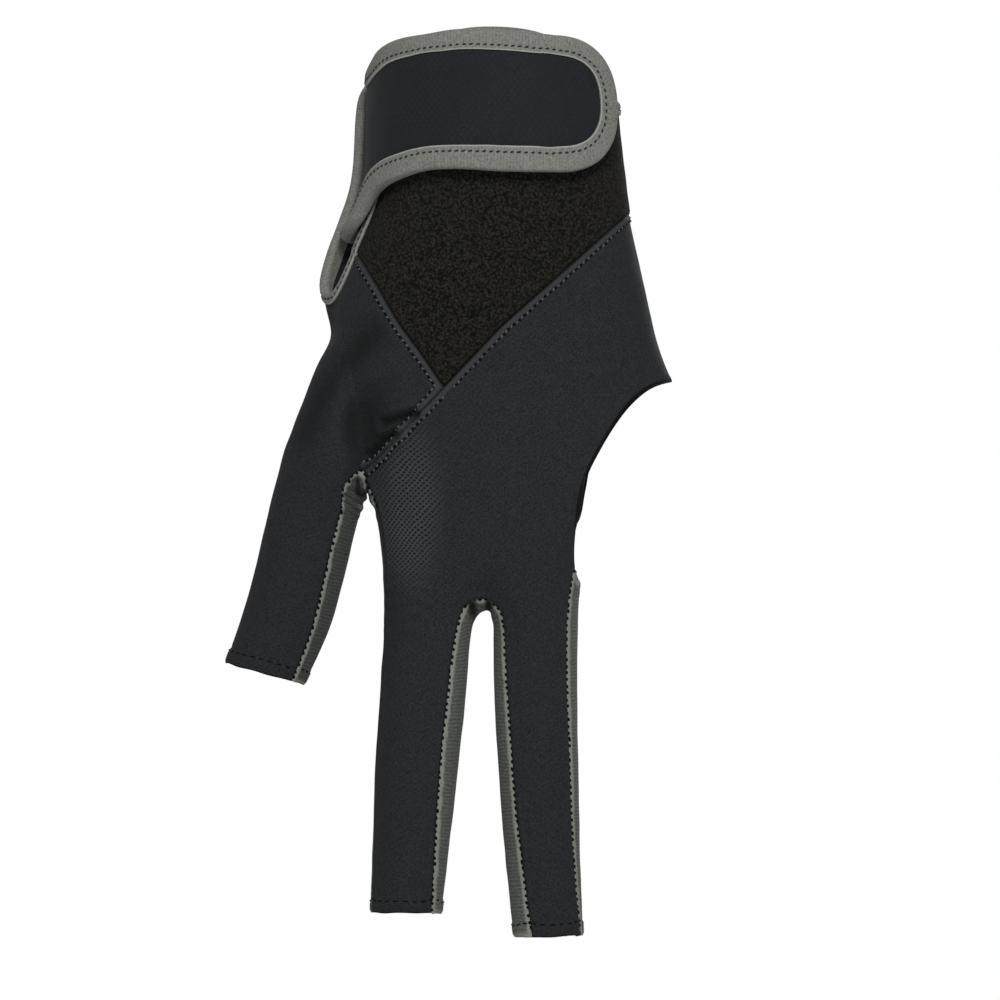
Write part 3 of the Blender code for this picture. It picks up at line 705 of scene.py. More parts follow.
@dataclass
class SewnCloth:
    """The glove's stretched cloth: its seams, hems, folds and the panels that it's sewn from."""

    cage: GloveCage
    thickness: float = 1.1 * MM
    seam_snap: float = 0.05 * MM
    long_seam: tuple[SeamPoint, ...] = LONG_SEAM
    short_seam: tuple[SeamPoint, ...] = SHORT_SEAM
    short_seam_margin: float = 0.062
    fingers_along: float = 0.8
    hem_length: float = 90 * MM
    welt_row: float = 1.55
    # Creases with a shade have their groove darkened with painted shade.
    creases: tuple[Crease, ...] = (
        Crease(((-20.4, -70.0), (-23.4, -70.8), (-27.8, -72.2)), 1.5, 1.1, 1.0),
        Crease(((-25.4, -74.4), (-28.2, -76.4), (-31.0, -79.4)), 1.4, 1.1, 1.0),
        Crease(((-24.5, -60.0), (-33.0, -63.0), (-37.5, -70.0)), -0.7, 2.6),
        Crease(((-26.0, -108.2), (-21.0, -107.2), (-17.0, -108.6)), 0.24, 0.8),
        Crease(((-26.2, -111.6), (-20.5, -110.6), (-16.5, -112.0)), 0.28, 0.8),
        Crease(((-26.2, -115.0), (-20.0, -114.0), (-16.5, -115.4)), 0.28, 0.8),
        Crease(((-26.4, -118.6), (-21.0, -117.6), (-17.5, -119.0)), 0.22, 0.8),
        Crease(((26.0, -54.5), (21.0, -54.0), (15.0, -55.2)), 0.16, 1.0),
        Crease(((27.5, -58.5), (21.0, -58.0), (14.0, -59.0)), 0.14, 1.0),
        Crease(((-29.7, -51.5), (-37.0, -58.6), (-42.8, -67.0), (-46.0, -75.0)), 0.6, 2.9, 0.5),
        Crease(((-50.0, -98.0), (-46.0, -97.4), (-42.5, -98.4)), 0.2, 1.0),
        Crease(((-52.0, -104.0), (-47.0, -103.2), (-44.0, -104.2)), 0.18, 1.0),
    )

    def __post_init__(self) -> None:
        """Rounds the cage, cuts its seams, and works the relief into it."""
        self.surface = self.cage.smoothed()
        self._cut_back()
        self.surface.normal_update()
        self.surface.verts.ensure_lookup_table()
        self.surface.verts.index_update()
        self.surface.edges.index_update()
        self.lines = self._find_lines()
        self._measure()
        self._work_relief()

    def _cut(self, faces: Iterable[Any], field: Callable[[Vector], float]) -> None:
        """Splits faces where a field changes sign, so that a seam runs along edges.

        Args:
            faces: The faces that the seam may cross.
            field: A signed distance from the seam.
        """
        near = [f for f in faces if min(abs(field(v.co)) for v in f.verts) < 2 * MM]
        value = {}
        for vert in {v for f in near for v in f.verts}:
            found = field(vert.co)
            value[vert] = 0.0 if abs(found) < self.seam_snap else found
        for edge in {e for f in near for e in f.edges}:
            start, end = edge.verts
            if value[start] * value[end] < 0:
                share = value[start] / (value[start] - value[end])
                value[bmesh.utils.edge_split(edge, start, share)[1]] = 0.0
        for face in near:
            crossing = [v for v in face.verts if value.get(v) == 0.0]
            sides = {math.copysign(1, value[v]) for v in face.verts if value[v] != 0.0}
            if len(crossing) == 2 and len(sides) == 2:
                bmesh.utils.face_split(face, crossing[0], crossing[1])

    def _cut_back(self) -> None:
        """Cuts the back along its two seams and gives each part its panel."""
        hand, cloth = self.cage.hand, self.surface
        back = PANELS.index(Panel.BACK)

        def above(seam: Sequence[SeamPoint]) -> Callable[[Vector], float]:
            """Returns the height above a seam as a function of the place."""
            return lambda point: point.z - seam_height(hand, seam, point.x)

        def side(face: Any, field: Callable[[Vector], float]) -> float:
            """Returns which side of a field a face lies on."""
            return max((field(v.co) for v in face.verts), key=abs)

        above_long, above_short = above(self.long_seam), above(self.short_seam)
        self._cut([f for f in cloth.faces if f.material_index == back], above_long)
        seam_end = self.short_seam[-1].across * hand.palm_width
        last_x = seam_end + self.short_seam_margin * hand.palm_width
        upper = [f for f in cloth.faces if f.material_index == back and side(f, above_long) > 0]
        self._cut([f for f in upper if f.calc_center_median().x < last_x], above_short)
        fingers_height = hand.rim_height - hand.length * self.fingers_along
        for face in cloth.faces:
            middle = face.calc_center_median()
            if face.material_index != back or middle.z < fingers_height or side(face, above_long) < 0:
                continue
            on_thumb = middle.x < seam_end and side(face, above_short) < 0
            face.material_index = PANELS.index(Panel.THUMB if on_thumb else Panel.PILE)

    def _find_lines(self) -> list[SeamLine]:
        """Chains the cloth's seams and open edges.

        Returns:
            Every line, with what it is sewn as.
        """
        groups: dict[frozenset[int], set[Any]] = {}
        for edge in self.surface.edges:
            kinds = [f.material_index for f in edge.link_faces]
            if len(kinds) == 1:
                groups.setdefault(frozenset((-1,)), set()).add(edge)
            elif kinds[0] != kinds[1]:
                groups.setdefault(frozenset(kinds), set()).add(edge)
        lines = []
        for key in sorted(groups, key=sorted):
            for run, closed in self._chains(groups[key]):
                points = [v.co.copy() for v in run]
                lengths = GloveCage._run(points)
                if key == frozenset((-1,)):
                    panels = frozenset(PANELS[f.material_index] for v in run for f in v.link_faces)
                    border = self._edge_border(points, lengths[-1])
                else:
                    panels = frozenset(PANELS[kind] for kind in key)
                    border = Border.GUSSET
                    if not panels & set(GUSSETS):
                        border = Border.WELT if not Panel.PALM in panels else Border.TAPED
                normals = [v.normal.copy() for v in run]
                ids = [v.index for v in run]
                lines.append(SeamLine(border, panels, ids, closed, points, normals, lengths))
        return lines

    def rim_line(self) -> SeamLine:
        """Returns the whole bound edge: the wrist's rim and both edges of the slit."""
        edges = [e for e in self.surface.edges if len(e.link_faces) == 1]
        chains = self._chains(edges)
        run, closed = max(chains, key=lambda chain: max(v.co.z for v in chain[0]))
        points = [v.co.copy() for v in run]
        normals = [v.normal.copy() for v in run]
        panels = frozenset((Panel.PILE, Panel.PALM, Panel.THUMB))
        ids = [v.index for v in run]
        return SeamLine(Border.TAPED, panels, ids, closed, points, normals, GloveCage._run(points))

    def _edge_border(self, points: Sequence[Vector], length: float) -> Border:
        """Returns what an open edge is: a fingertip, the wrist's rim or the side opening."""
        if max(p.z for p in points) > 0:
            return Border.TAPED
        return Border.TIP_HEM if length < self.hem_length else Border.SIDE_HEM

    @staticmethod
    def _chains(edges: Iterable[Any]) -> list[tuple[list[Any], bool]]:
        """Orders edges into lines.

        Args:
            edges: Edges of the cloth.

        Returns:
            The vertices of each line, and whether it closes.
        """
        links: dict[Any, list[Any]] = {}
        left = set(edges)
        for edge in left:
            for vert in edge.verts:
                links.setdefault(vert, []).append(edge)
        starts = sorted((v for v in links if len(links[v]) != 2), key=lambda v: v.index)
        starts += sorted((v for v in links if len(links[v]) == 2), key=lambda v: v.index)
        chains = []
        for start in starts:
            while any(e in left for e in links[start]):
                vert, run = start, [start]
                while True:
                    following = [e for e in links[vert] if e in left]
                    if not following or (len(run) > 1 and len(links[vert]) != 2):
                        break
                    edge = min(following, key=lambda e: e.index)
                    left.discard(edge)
                    vert = edge.other_vert(vert)
                    run.append(vert)
                closed = run[0] is run[-1]
                chains.append((run[:-1] if closed else run, closed))
        return chains

    def _measure(self) -> None:
        """Measures how far each vertex lies from its panel's nearest seam, and how far along it."""
        verts = self.surface.verts
        count = len(verts)
        self.co = np.array([v.co[:] for v in verts])
        self.normal = np.array([v.normal[:] for v in verts])
        self.panel = np.full(count, -1)
        for face in self.surface.faces:
            for vert in face.verts:
                self.panel[vert.index] = face.material_index
        self.away = np.full((len(PANELS), count), 1.0)
        self.run = np.zeros((len(PANELS), count))
        self.border = np.full((len(PANELS), count), -1)
        self.members = [set() for _ in PANELS]
        for face in self.surface.faces:
            self.members[face.material_index].update(v.index for v in face.verts)
        for number, panel in enumerate(PANELS):
            own = [line for line in self.lines if panel in line.panels]
            spots = [(line, i) for line in own for i in range(len(line.points))]
            tree = KDTree(len(spots))
            for i, (line, place) in enumerate(spots):
                tree.insert(line.points[place], i)
            tree.balance()
            for index in self.members[number]:
                place = Vector(self.co[index])
                _, found, _ = tree.find(place)
                line, at = spots[found]
                along = line.tangent(at)
                offset = place - line.points[at]
                slide = max(-MM, min(MM, offset.dot(along)))
                self.away[number, index] = (offset - along * slide).length / MM
                self.run[number, index] = (line.lengths[at] + slide) / MM
                self.border[number, index] = BORDERS.index(line.border)

    def _relief(self, panel: Panel, border: Border, away: np.ndarray) -> np.ndarray:
        """Shapes the cloth beside one kind of edge.

        Args:
            panel: The panel that the cloth belongs to.
            border: What its nearest edge is sewn as.
            away: Distances from that edge in millimetres.

        Returns:
            How far the cloth stands out there, in millimetres.
        """
        if border is Border.WELT and panel is Panel.PILE:
            return 0.34 * (1 - np.exp(-away / 0.8)) - 0.26 * hump(away, 0, 0.4)
        if border is Border.WELT:
            rise = 0.40 * hump(away, 0.75, 0.5) - 0.30 * hump(away, 1.55, 0.32)
            return rise + 0.10 * hump(away, 2.5, 0.7) - 0.30 * hump(away, 0, 0.35)
        if border is Border.GUSSET:
            rise = 0.06 if panel in GUSSETS else 0.20
            return rise * hump(away, 0.9, 0.6) - 0.24 * hump(away, 0, 0.4)
        if border is Border.TIP_HEM:
            fold = 0.26 * (1 - ease_all((away - 3.1) / 0.6)) - 0.18 * hump(away, 3.5, 0.4)
            return fold - 0.30 * hump(away, 0, 0.3)
        if border is Border.SIDE_HEM:
            fold = 0.12 * (1 - ease_all((away - 1.7) / 0.6))
            return fold - 0.26 * hump(away, 0, 0.3)
        return 0.34 * np.exp(-away / 50) if panel is Panel.PILE else np.zeros_like(away)

    def _work_relief(self) -> None:
        """Moves the cloth out and in for its seams, hems, folds and unevenness."""
        shift = np.zeros(len(self.co))
        for number, panel in enumerate(PANELS):
            for kind, border in enumerate(BORDERS):
                chosen = (self.panel == number) & (self.border[number] == kind)
                shift[chosen] = self._relief(panel, border, self.away[number, chosen])
        front = ease_all((0.35 - self.normal[:, 1]) / 0.5)
        # self.fold is painted shade: how far the creases' grooves and the hollow are darkened in colour.
        self.fold = np.zeros(len(self.co))
        for crease in self.creases:
            reach = self._reach(crease.places)
            groove = hump(reach, 0, crease.spread)
            rolls = hump(reach, 1.9 * crease.spread, crease.spread)
            shift -= front * crease.depth * (groove - 0.4 * rolls)
            self.fold = np.maximum(self.fold, front * crease.shade * groove)
        hollow = np.hypot((self.co[:, 0] / MM + 31.0) / 6.0, (self.co[:, 2] / MM + 73.5) / 8.5)
        shift -= 1.0 * front * np.exp(-(hollow**2))
        # Painted shade in the hollow.
        self.fold = np.maximum(self.fold, 0.5 * front * np.exp(-(hollow**4)))
        web = self.panel == PANELS.index(Panel.THUMB_INDEX)
        height, across = self.co[:, 2] / MM, self.co[:, 0] / MM
        pleats = np.sin((across * 0.8 + height) * 2.4 + np.sin(across * 1.7)) * 0.32
        shift[web] += (pleats * ease_all((height + 96) / 8))[web]
        fork = self.panel == PANELS.index(Panel.INDEX_MIDDLE)
        tucks = -1.3 * (hump(across, -7.0, 0.8) + hump(across, -3.5, 0.7))
        shift[fork] += (tucks * ease_all((height + 117.5) / 3.5))[fork]
        uneven = np.array([
            0.22 * noise.noise(Vector(c) * 70) + 0.09 * noise.noise(Vector(c) * 210)
            for c in self.co
        ])
        shift += uneven
        self.co += self.normal * (shift * MM)[:, None]
        # The thumb's web is stretched open, so its seam bows out towards the thumb.
        bow = hump(across, -33.6, 3.3) * hump(height, -87.0, 4.8) * front
        self.co[:, 0] -= 3.0 * MM * bow
        # The thumb narrows under the slit, and the back bulges where the fourth finger leaves.
        self.co[:, 0] += 1.7 * MM * hump(height, -52.0, 5.0) * ease_all((-36.0 - across) / 4.0)
        behind = ease_all(self.co[:, 1] / MM / 5.0)
        self.co[:, 0] += 2.3 * MM * hump(across, 18.0, 4.0) * hump(height, -112.0, 4.2) * behind
        self._wave_hems()
        for vert, place in zip(self.surface.verts, self.co):
            vert.co = place
        self.surface.normal_update()
        for line in self.lines:
            line.points = [self.surface.verts[i].co.copy() for i in line.verts]
            line.normals = [self.surface.verts[i].normal.copy() for i in line.verts]
            line.lengths = GloveCage._run(line.points)

    def _reach(self, places: Sequence[tuple[float, float]]) -> np.ndarray:
        """Returns how far every vertex lies, seen from the front, from a line in millimetres."""
        at = self.co[:, (0, 2)] / MM
        nearest = np.full(len(at), 1e3)
        for start, end in zip(places, places[1:]):
            first, along = np.array(start), np.array(end) - np.array(start)
            share = np.clip((at - first) @ along / (along @ along), 0, 1)
            nearest = np.minimum(nearest, np.linalg.norm(at - first - share[:, None] * along, axis=1))
        return nearest

    def _wave_hems(self) -> None:
        """Lets the fingertip hems wander a little up and down, as stretched hems do."""
        for number, _ in enumerate(PANELS):
            hem = (self.panel == number) & (self.border[number] == BORDERS.index(Border.TIP_HEM))
            for index in np.nonzero(hem & (self.away[number] < 6))[0]:
                x, y, _ = self.co[index]
                wave = noise.noise(Vector((x * 160, y * 160, 3.0)))
                self.co[index, 2] += 0.45 * MM * wave * (1 - ease(self.away[number, index] / 6))

    def panel_object(self, panel: Panel) -> bpy.types.Object:
        """Cuts out one panel and gives it its thickness.

        Args:
            panel: The panel.

        Returns:
            A closed piece of cloth, with the distance from its seams as attributes.
        """
        number = PANELS.index(panel)
        cut = self.surface.copy()
        origin = cut.verts.layers.int.new("origin")
        cut.verts.ensure_lookup_table()
        for index, vert in enumerate(cut.verts):
            vert[origin] = index
        others = [f for f in cut.faces if f.material_index != number]
        bmesh.ops.delete(cut, geom=others, context="FACES")
        for face in cut.faces:
            face.material_index = 0
        ids = [v[origin] for v in cut.verts]
        mesh = bpy.data.meshes.new(f"{panel.value}_cloth")
        cut.to_mesh(mesh)
        cut.free()
        mesh.attributes.remove(mesh.attributes["origin"])
        welt = self.border[number, ids] == BORDERS.index(Border.WELT)
        row = np.where(welt, self.away[number, ids] - self.welt_row, 9.0)
        # The fold attribute carries the painted shade of the creases and the hollow.
        measures = {"seam_mm": self.away[number, ids], "row_mm": row, "fold": self.fold[ids]}
        for name, values in measures.items():
            attribute = mesh.attributes.new(name, "FLOAT", "POINT")
            attribute.data.foreach_set("value", values.astype(np.float32))
        piece = bpy.data.objects.new(f"{panel.value}_cloth", mesh)
        bpy.context.scene.collection.objects.link(piece)
        wall = piece.modifiers.new("wall", "SOLIDIFY")
        wall.thickness = self.thickness
        wall.offset = -1.0
        apply_modifiers(piece)
        return piece


def apply_modifiers(piece: bpy.types.Object) -> None:
    """Applies a piece's modifiers and shades it smooth, apart from its sharp edges.

    Args:
        piece: The piece.
    """
    bpy.ops.object.select_all(action="DESELECT")
    piece.select_set(True)
    bpy.context.view_layer.objects.active = piece
    for modifier in list(piece.modifiers):
        bpy.ops.object.modifier_apply(modifier=modifier.name)
    bpy.ops.object.shade_smooth_by_angle(angle=math.radians(55))


class Spot(NamedTuple):
    """A place on a surface, with its outward normal and the direction of the line it's on."""

    point: Vector
    normal: Vector
    along: Vector


@dataclass
class WristStrap:
    """The strap that closes the glove, from its rounded end to where it goes under the flap."""

    hand: HandForm
    thickness: float = 1.9 * MM
    height: float = 0.0308
    drop: float = 0.0150
    base: float = -0.0139
    tip_turn: float = 58.5
    lift: float = 0.0023
    tuck_depth: float = 0.0034
    tuck_start: float = -93.0
    tuck_end: float = -124.0
    tape_end: float = -104.0
    tip_steps: int = 24
    steps: int = 130
    cross_steps: int = 28

    def _spans(self) -> list[tuple[float, float, float, float]]:
        """Returns the strap's turn, lower and upper height and stand, step by step from its tip."""
        first, last = STRAP_STATIONS[0], STRAP_STATIONS[-1]
        middle = self.base + first.top * self.height / 2
        spans = []
        for step in range(1, self.tip_steps + 1):
            angle = math.radians(90 * step / (self.tip_steps + 1))
            half = math.sin(angle) * first.top * self.height / 2
            spans.append((blend(first.turn, self.tip_turn, math.cos(angle)), middle - half, middle + half, 0.0))
        for step in range(self.steps + 1):
            turn = blend(first.turn, last.turn, step / self.steps)
            top, drop, stand = (
                table_value(STRAP_STATIONS, "turn", name, turn) for name in ("top", "drop", "stand")
            )
            spans.append(
                (turn, self.base - drop * self.drop, self.base + top * self.height, stand * self.lift)
            )
        return spans

    def face(self) -> bmesh.types.BMesh:
        """Builds the strap's outer face.

        Returns:
            A sheet whose faces past the tape's end have material index 1, with a UV in metres.
        """
        sheet = bmesh.new()
        uv_layer = sheet.loops.layers.uv.new("cloth")
        along, before, before_run = 0.0, None, 0.0
        for turn, bottom, top, stand in self._spans():
            tuck = ease((turn - self.tuck_start) / (self.tuck_end - self.tuck_start))
            lift = self.lift + self.thickness - tuck * self.tuck_depth
            verts = []
            for step in range(self.cross_steps + 1):
                share = step / self.cross_steps
                point = self.hand.point(turn, blend(bottom, top, share), lift + stand * (1 - share))
                crown = 0.16 * MM * math.sin(math.pi * share) * ((top - bottom) / self.height) ** 3
                soft = 0.06 * MM * noise.noise(point * 140) + crown
                point += self.hand.outwards(turn, point.z) * soft
                verts.append(sheet.verts.new(point))
            if before:
                middle = self.cross_steps // 2
                along += (verts[middle].co - before[middle].co).length
                for i in range(self.cross_steps):
                    face = sheet.faces.new((before[i], before[i + 1], verts[i + 1], verts[i]))
                    face.material_index = 1 if turn < self.tape_end else 0
                    face.smooth = True
                    places = (before_run, before_run, along, along)
                    for loop, run in zip(face.loops, places):
                        loop[uv_layer].uv = (run, loop.vert.co.z)
            before, before_run = verts, along
        sheet.normal_update()
        sheet.verts.index_update()
        sheet.edges.index_update()
        return sheet

    def taped_edge(self, sheet: bmesh.types.BMesh) -> tuple[list[Vector], list[Vector]]:
        """Returns the strap's edge as far as the tape goes, with its normals."""
        edges = [
            e for e in sheet.edges
            if len(e.link_faces) == 1 and e.link_faces[0].material_index == 0
        ]
        run = max(SewnCloth._chains(edges), key=lambda chain: len(chain[0]))[0]
        return [v.co.copy() for v in run], [v.normal.copy() for v in run]

    def build(self, sheet: bmesh.types.BMesh) -> bpy.types.Object:
        """Gives the strap its thickness.

        Args:
            sheet: Its outer face.

        Returns:
            The closed strap.
        """
        for face in sheet.faces:
            face.material_index = 0
        mesh = bpy.data.meshes.new("wrist_strap_cloth")
        sheet.to_mesh(mesh)
        piece = bpy.data.objects.new("wrist_strap_cloth", mesh)
        bpy.context.scene.collection.objects.link(piece)
        wall = piece.modifiers.new("wall", "SOLIDIFY")
        wall.thickness = self.thickness
        wall.offset = -1.0
        apply_modifiers(piece)
        return piece


@dataclass
class BindingTape:
    """Woven tape folded over an edge of cloth and sewn through."""

    name: str
    cloth_thickness: float
    side_width: float
    top_width: float
    thickness: float = 0.55 * MM
    clearance: float = 0.10 * MM
    pitch: float = 0.9 * MM
    row_inset: float = 1.15 * MM
    leg_steps: int = 7
    fold_steps: int = 6
    fan_narrowing: float = 3.0
    fold_share: float = 0.5
    end_share: float = 0.45
    end_run: float = 14 * MM

    def _resampled(
        self, points: Sequence[Vector], normals: Sequence[Vector], closed: bool
    ) -> list[Spot]:
        """Spaces the edge's places evenly.

        Args:
            points: The edge's places.
            normals: The cloth's normals there.
            closed: Whether the edge is a loop.

        Returns:
            Places a pitch apart, with the edge's direction at each.
        """
        points, normals = list(points), list(normals)
        if closed:
            points.append(points[0])
            normals.append(normals[0])
        run = GloveCage._run(points)
        count = max(8, round(run[-1] / self.pitch))
        spots = []
        at = 0
        for step in range(count if closed else count + 1):
            want = run[-1] * step / count
            while at < len(run) - 2 and run[at + 1] < want:
                at += 1
            share = (want - run[at]) / max(run[at + 1] - run[at], 1e-9)
            normal = blend(normals[at], normals[at + 1], share).normalized()
            spots.append((blend(points[at], points[at + 1], share), normal))
        made = []
        for i, (point, normal) in enumerate(spots):
            before = spots[(i - 2) % len(spots) if closed else max(i - 2, 0)][0]
            after = spots[(i + 2) % len(spots) if closed else min(i + 2, len(spots) - 1)][0]
            made.append(Spot(point, normal, (after - before).normalized()))
        return made

    def _widths(self, spots: Sequence[Spot], outwards: Sequence[Vector], closed: bool) -> list[float]:
        """Works out the tape's width along the edge, narrower where the edge turns sharply.

        Args:
            spots: The places along the edge.
            outwards: The direction out of the cloth at each.
            closed: Whether the edge is a loop.

        Returns:
            The width at each place.
        """
        count, reach = len(spots), 3
        widths = []
        for i, spot in enumerate(spots):
            width = blend(self.side_width, self.top_width, ease(outwards[i].z))
            before = spots[(i - reach) % count if closed else max(i - reach, 0)]
            after = spots[(i + reach) % count if closed else min(i + reach, count - 1)]
            first, second = spot.point - before.point, after.point - spot.point
            if min(first.length, second.length) > 0.1 * MM:
                bend = max(first.angle(second), 0.001)
                if (second - first).dot(outwards[i]) > 0:
                    width /= 1 + 0.35 * self.fan_narrowing * bend
                else:
                    width = min(width, self.fold_share * (first.length + second.length) / bend)
            if not closed:
                near_end = min(i, count - 1 - i) * self.pitch
                width *= blend(self.end_share, 1.0, ease(near_end / self.end_run))
            widths.append(width)
        for _ in range(3):
            widths = [
                (widths[i - 1 if i or closed else 0] + widths[i] + widths[(i + 1) % count if closed else min(i + 1, count - 1)]) / 3
                for i in range(count)
            ]
        return widths

    def _section(
        self, spot: Spot, outwards: Vector, width: float, tree: BVHTree, faces: Any
    ) -> tuple[list[Vector], list[float], Spot]:
        """Lays out the folded tape's section at one place.

        Args:
            spot: The place on the edge.
            outwards: The direction out of the cloth.
            width: How far the tape reaches over the cloth.
            tree: The cloth's faces, to lie on.
            faces: The same faces, for their normals.

        Returns:
            The section's points, how far round the tape each lies, and the stitch row's place.
        """
        legs = []
        for step in range(self.leg_steps + 1):
            away = width * (1 - step / self.leg_steps)
            place, _, index, _ = tree.find_nearest(spot.point - outwards * away)
            normal = sum((v.normal for v in faces[index].verts), Vector()).normalized()
            legs.append((place, normal, away) if step < self.leg_steps else (spot.point, spot.normal, 0.0))
        over, deep = [], []
        for place, normal, away in legs:
            inset = width - away
            rise = self.thickness * (0.55 + 0.45 * ease(inset / (0.5 * MM)))
            rise -= 0.20 * MM * math.exp(-(((inset - self.row_inset) / (0.4 * MM)) ** 2))
            over.append(place + normal * (self.clearance + rise))
            deep.append(place - normal * (self.cloth_thickness + self.clearance + self.thickness))
        half = self.cloth_thickness / 2
        centre = spot.point - spot.normal * half
        fold = []
        for step in range(1, self.fold_steps):
            angle = math.pi * step / self.fold_steps
            level = (half + self.clearance + self.thickness) * math.cos(angle)
            fold.append(
                centre + spot.normal * level + outwards * (self.thickness + 0.25 * MM) * math.sin(angle)
            )
        outer = over + fold + deep[::-1]
        under = [place + normal * self.clearance * 0.3 for place, normal, _ in legs]
        hidden = [place - normal * (self.cloth_thickness + self.clearance * 0.3) for place, normal, _ in legs]
        section = outer + [hidden[0], hidden[-1], under[-1], under[0]]
        around = GloveCage._run(outer)
        around += [around[-1] + self.thickness] * 4
        row = min(range(len(legs)), key=lambda i: abs(width - legs[i][2] - self.row_inset))
        return section, around, Spot(over[row], legs[row][1], spot.along)

    def build(
        self,
        cloth: bmesh.types.BMesh,
        points: Sequence[Vector],
        normals: Sequence[Vector],
        closed: bool,
    ) -> tuple[bpy.types.Object, list[Spot]]:
        """Sweeps the folded tape along an edge of cloth.

        Args:
            cloth: The cloth that it is folded over.
            points: The edge's places.
            normals: The cloth's normals there.
            closed: Whether the edge is a loop.

        Returns:
            The tape, and the places of its stitch row.
        """
        tree = BVHTree.FromBMesh(cloth)
        cloth.faces.ensure_lookup_table()
        spots = self._resampled(points, normals, closed)
        outwards = []
        for spot in spots:
            out = spot.along.cross(spot.normal).normalized()
            place, _, _, _ = tree.find_nearest(spot.point + out * MM)
            other, _, _, _ = tree.find_nearest(spot.point - out * MM)
            if (place - spot.point - out * MM).length < (other - spot.point + out * MM).length:
                out.negate()
            outwards.append(out)
        widths = self._widths(spots, outwards, closed)
        solid = bmesh.new()
        uv_layer = solid.loops.layers.uv.new("cloth")
        rings, arounds, row = [], [], []
        for spot, out, width in zip(spots, outwards, widths):
            section, around, stitch = self._section(spot, out, width, tree, cloth.faces)
            rings.append([solid.verts.new(point) for point in section])
            arounds.append(around)
            row.append(stitch)
        size = len(rings[0])
        for i in range(len(rings) if closed else len(rings) - 1):
            this, following = rings[i], rings[(i + 1) % len(rings)]
            for j in range(size):
                after = (j + 1) % size
                face = solid.faces.new((this[j], this[after], following[after], following[j]))
                face.smooth = True
                run = ((i, j), (i, after), (i + 1, after), (i + 1, j))
                for loop, (at, turn) in zip(face.loops, run):
                    loop[uv_layer].uv = (at * self.pitch, arounds[i][turn])
        if not closed:
            solid.faces.new(rings[0][::-1])
            solid.faces.new(rings[-1])
        bmesh.ops.recalc_face_normals(solid, faces=solid.faces)
        mesh = bpy.data.meshes.new(self.name)
        solid.to_mesh(mesh)
        solid.free()
        piece = bpy.data.objects.new(self.name, mesh)
        bpy.context.scene.collection.objects.link(piece)
        apply_modifiers(piece)
        return piece, row


@dataclass
class StitchRow:
    """Rows of sewing thread, each stitch a short rounded length that dips in at both ends."""

    name: str
    pitch: float
    length: float
    radius: float
    slant: float = 0.0
    lift: float = 0.0
    offset: float = 0.5
    unevenness: float = 0.06

    def _pattern(self) -> tuple[np.ndarray, list[tuple[int, ...]]]:
        """Models one stitch.

        Returns:
            Its points along +X, and its faces.
        """
        bpy.ops.object.select_all(action="DESELECT")
        bpy.ops.mesh.primitive_uv_sphere_add(
            segments=6, ring_count=6, radius=1.0, rotation=(0, math.pi / 2, 0)
        )
        thread = bpy.context.object
        bpy.ops.object.transform_apply(location=True, rotation=True, scale=True)
        shape = np.array([v.co[:] for v in thread.data.vertices])
        faces = [tuple(p.vertices) for p in thread.data.polygons]
        mesh = thread.data
        bpy.data.objects.remove(thread)
        bpy.data.meshes.remove(mesh)
        along = np.sign(shape[:, 0]) * np.abs(shape[:, 0]) ** 0.6
        dip = -0.9 * np.abs(along) ** 3
        return np.stack([along, shape[:, 1], shape[:, 2] + dip], axis=1), faces

    def build(self, rows: Iterable[Sequence[Spot]]) -> bpy.types.Object:
        """Sews the rows.

        Args:
            rows: Lines of places on the cloth, each in order.

        Returns:
            All the stitches as one piece.
        """
        shape, faces = self._pattern()
        chance = random.Random(7)
        points: list[np.ndarray] = []
        polygons: list[tuple[int, ...]] = []
        for row in rows:
            run = GloveCage._run([spot.point for spot in row])
            at = 0
            for number in range(int(run[-1] / self.pitch)):
                want = (number + self.offset) * self.pitch
                while at < len(run) - 2 and run[at + 1] < want:
                    at += 1
                share = (want - run[at]) / max(run[at + 1] - run[at], 1e-9)
                normal = blend(row[at].normal, row[at + 1].normal, share).normalized()
                place = blend(row[at].point, row[at + 1].point, share) + normal * self.lift
                along = (row[at + 1].point - row[at].point).normalized()
                across = normal.cross(along).normalized()
                turn = math.radians(self.slant * (1 + chance.uniform(-3, 3) * self.unevenness))
                ahead = along * math.cos(turn) + across * math.sin(turn)
                aside = normal.cross(ahead).normalized()
                size = self.length / 2 * (1 + chance.uniform(-1.5, 1) * self.unevenness)
                place += aside * self.radius * chance.uniform(-3, 3) * self.unevenness
                frame_axes = np.array([ahead * size, aside * self.radius, normal * self.radius])
                base = len(points) * len(shape)
                points.append(shape @ frame_axes + np.array(place))
                polygons += [tuple(base + i for i in face) for face in faces]
        mesh = bpy.data.meshes.new(self.name)
        mesh.from_pydata(np.concatenate(points).tolist(), [], polygons)
        mesh.shade_smooth()
        piece = bpy.data.objects.new(self.name, mesh)
        bpy.context.scene.collection.objects.link(piece)
        return piece


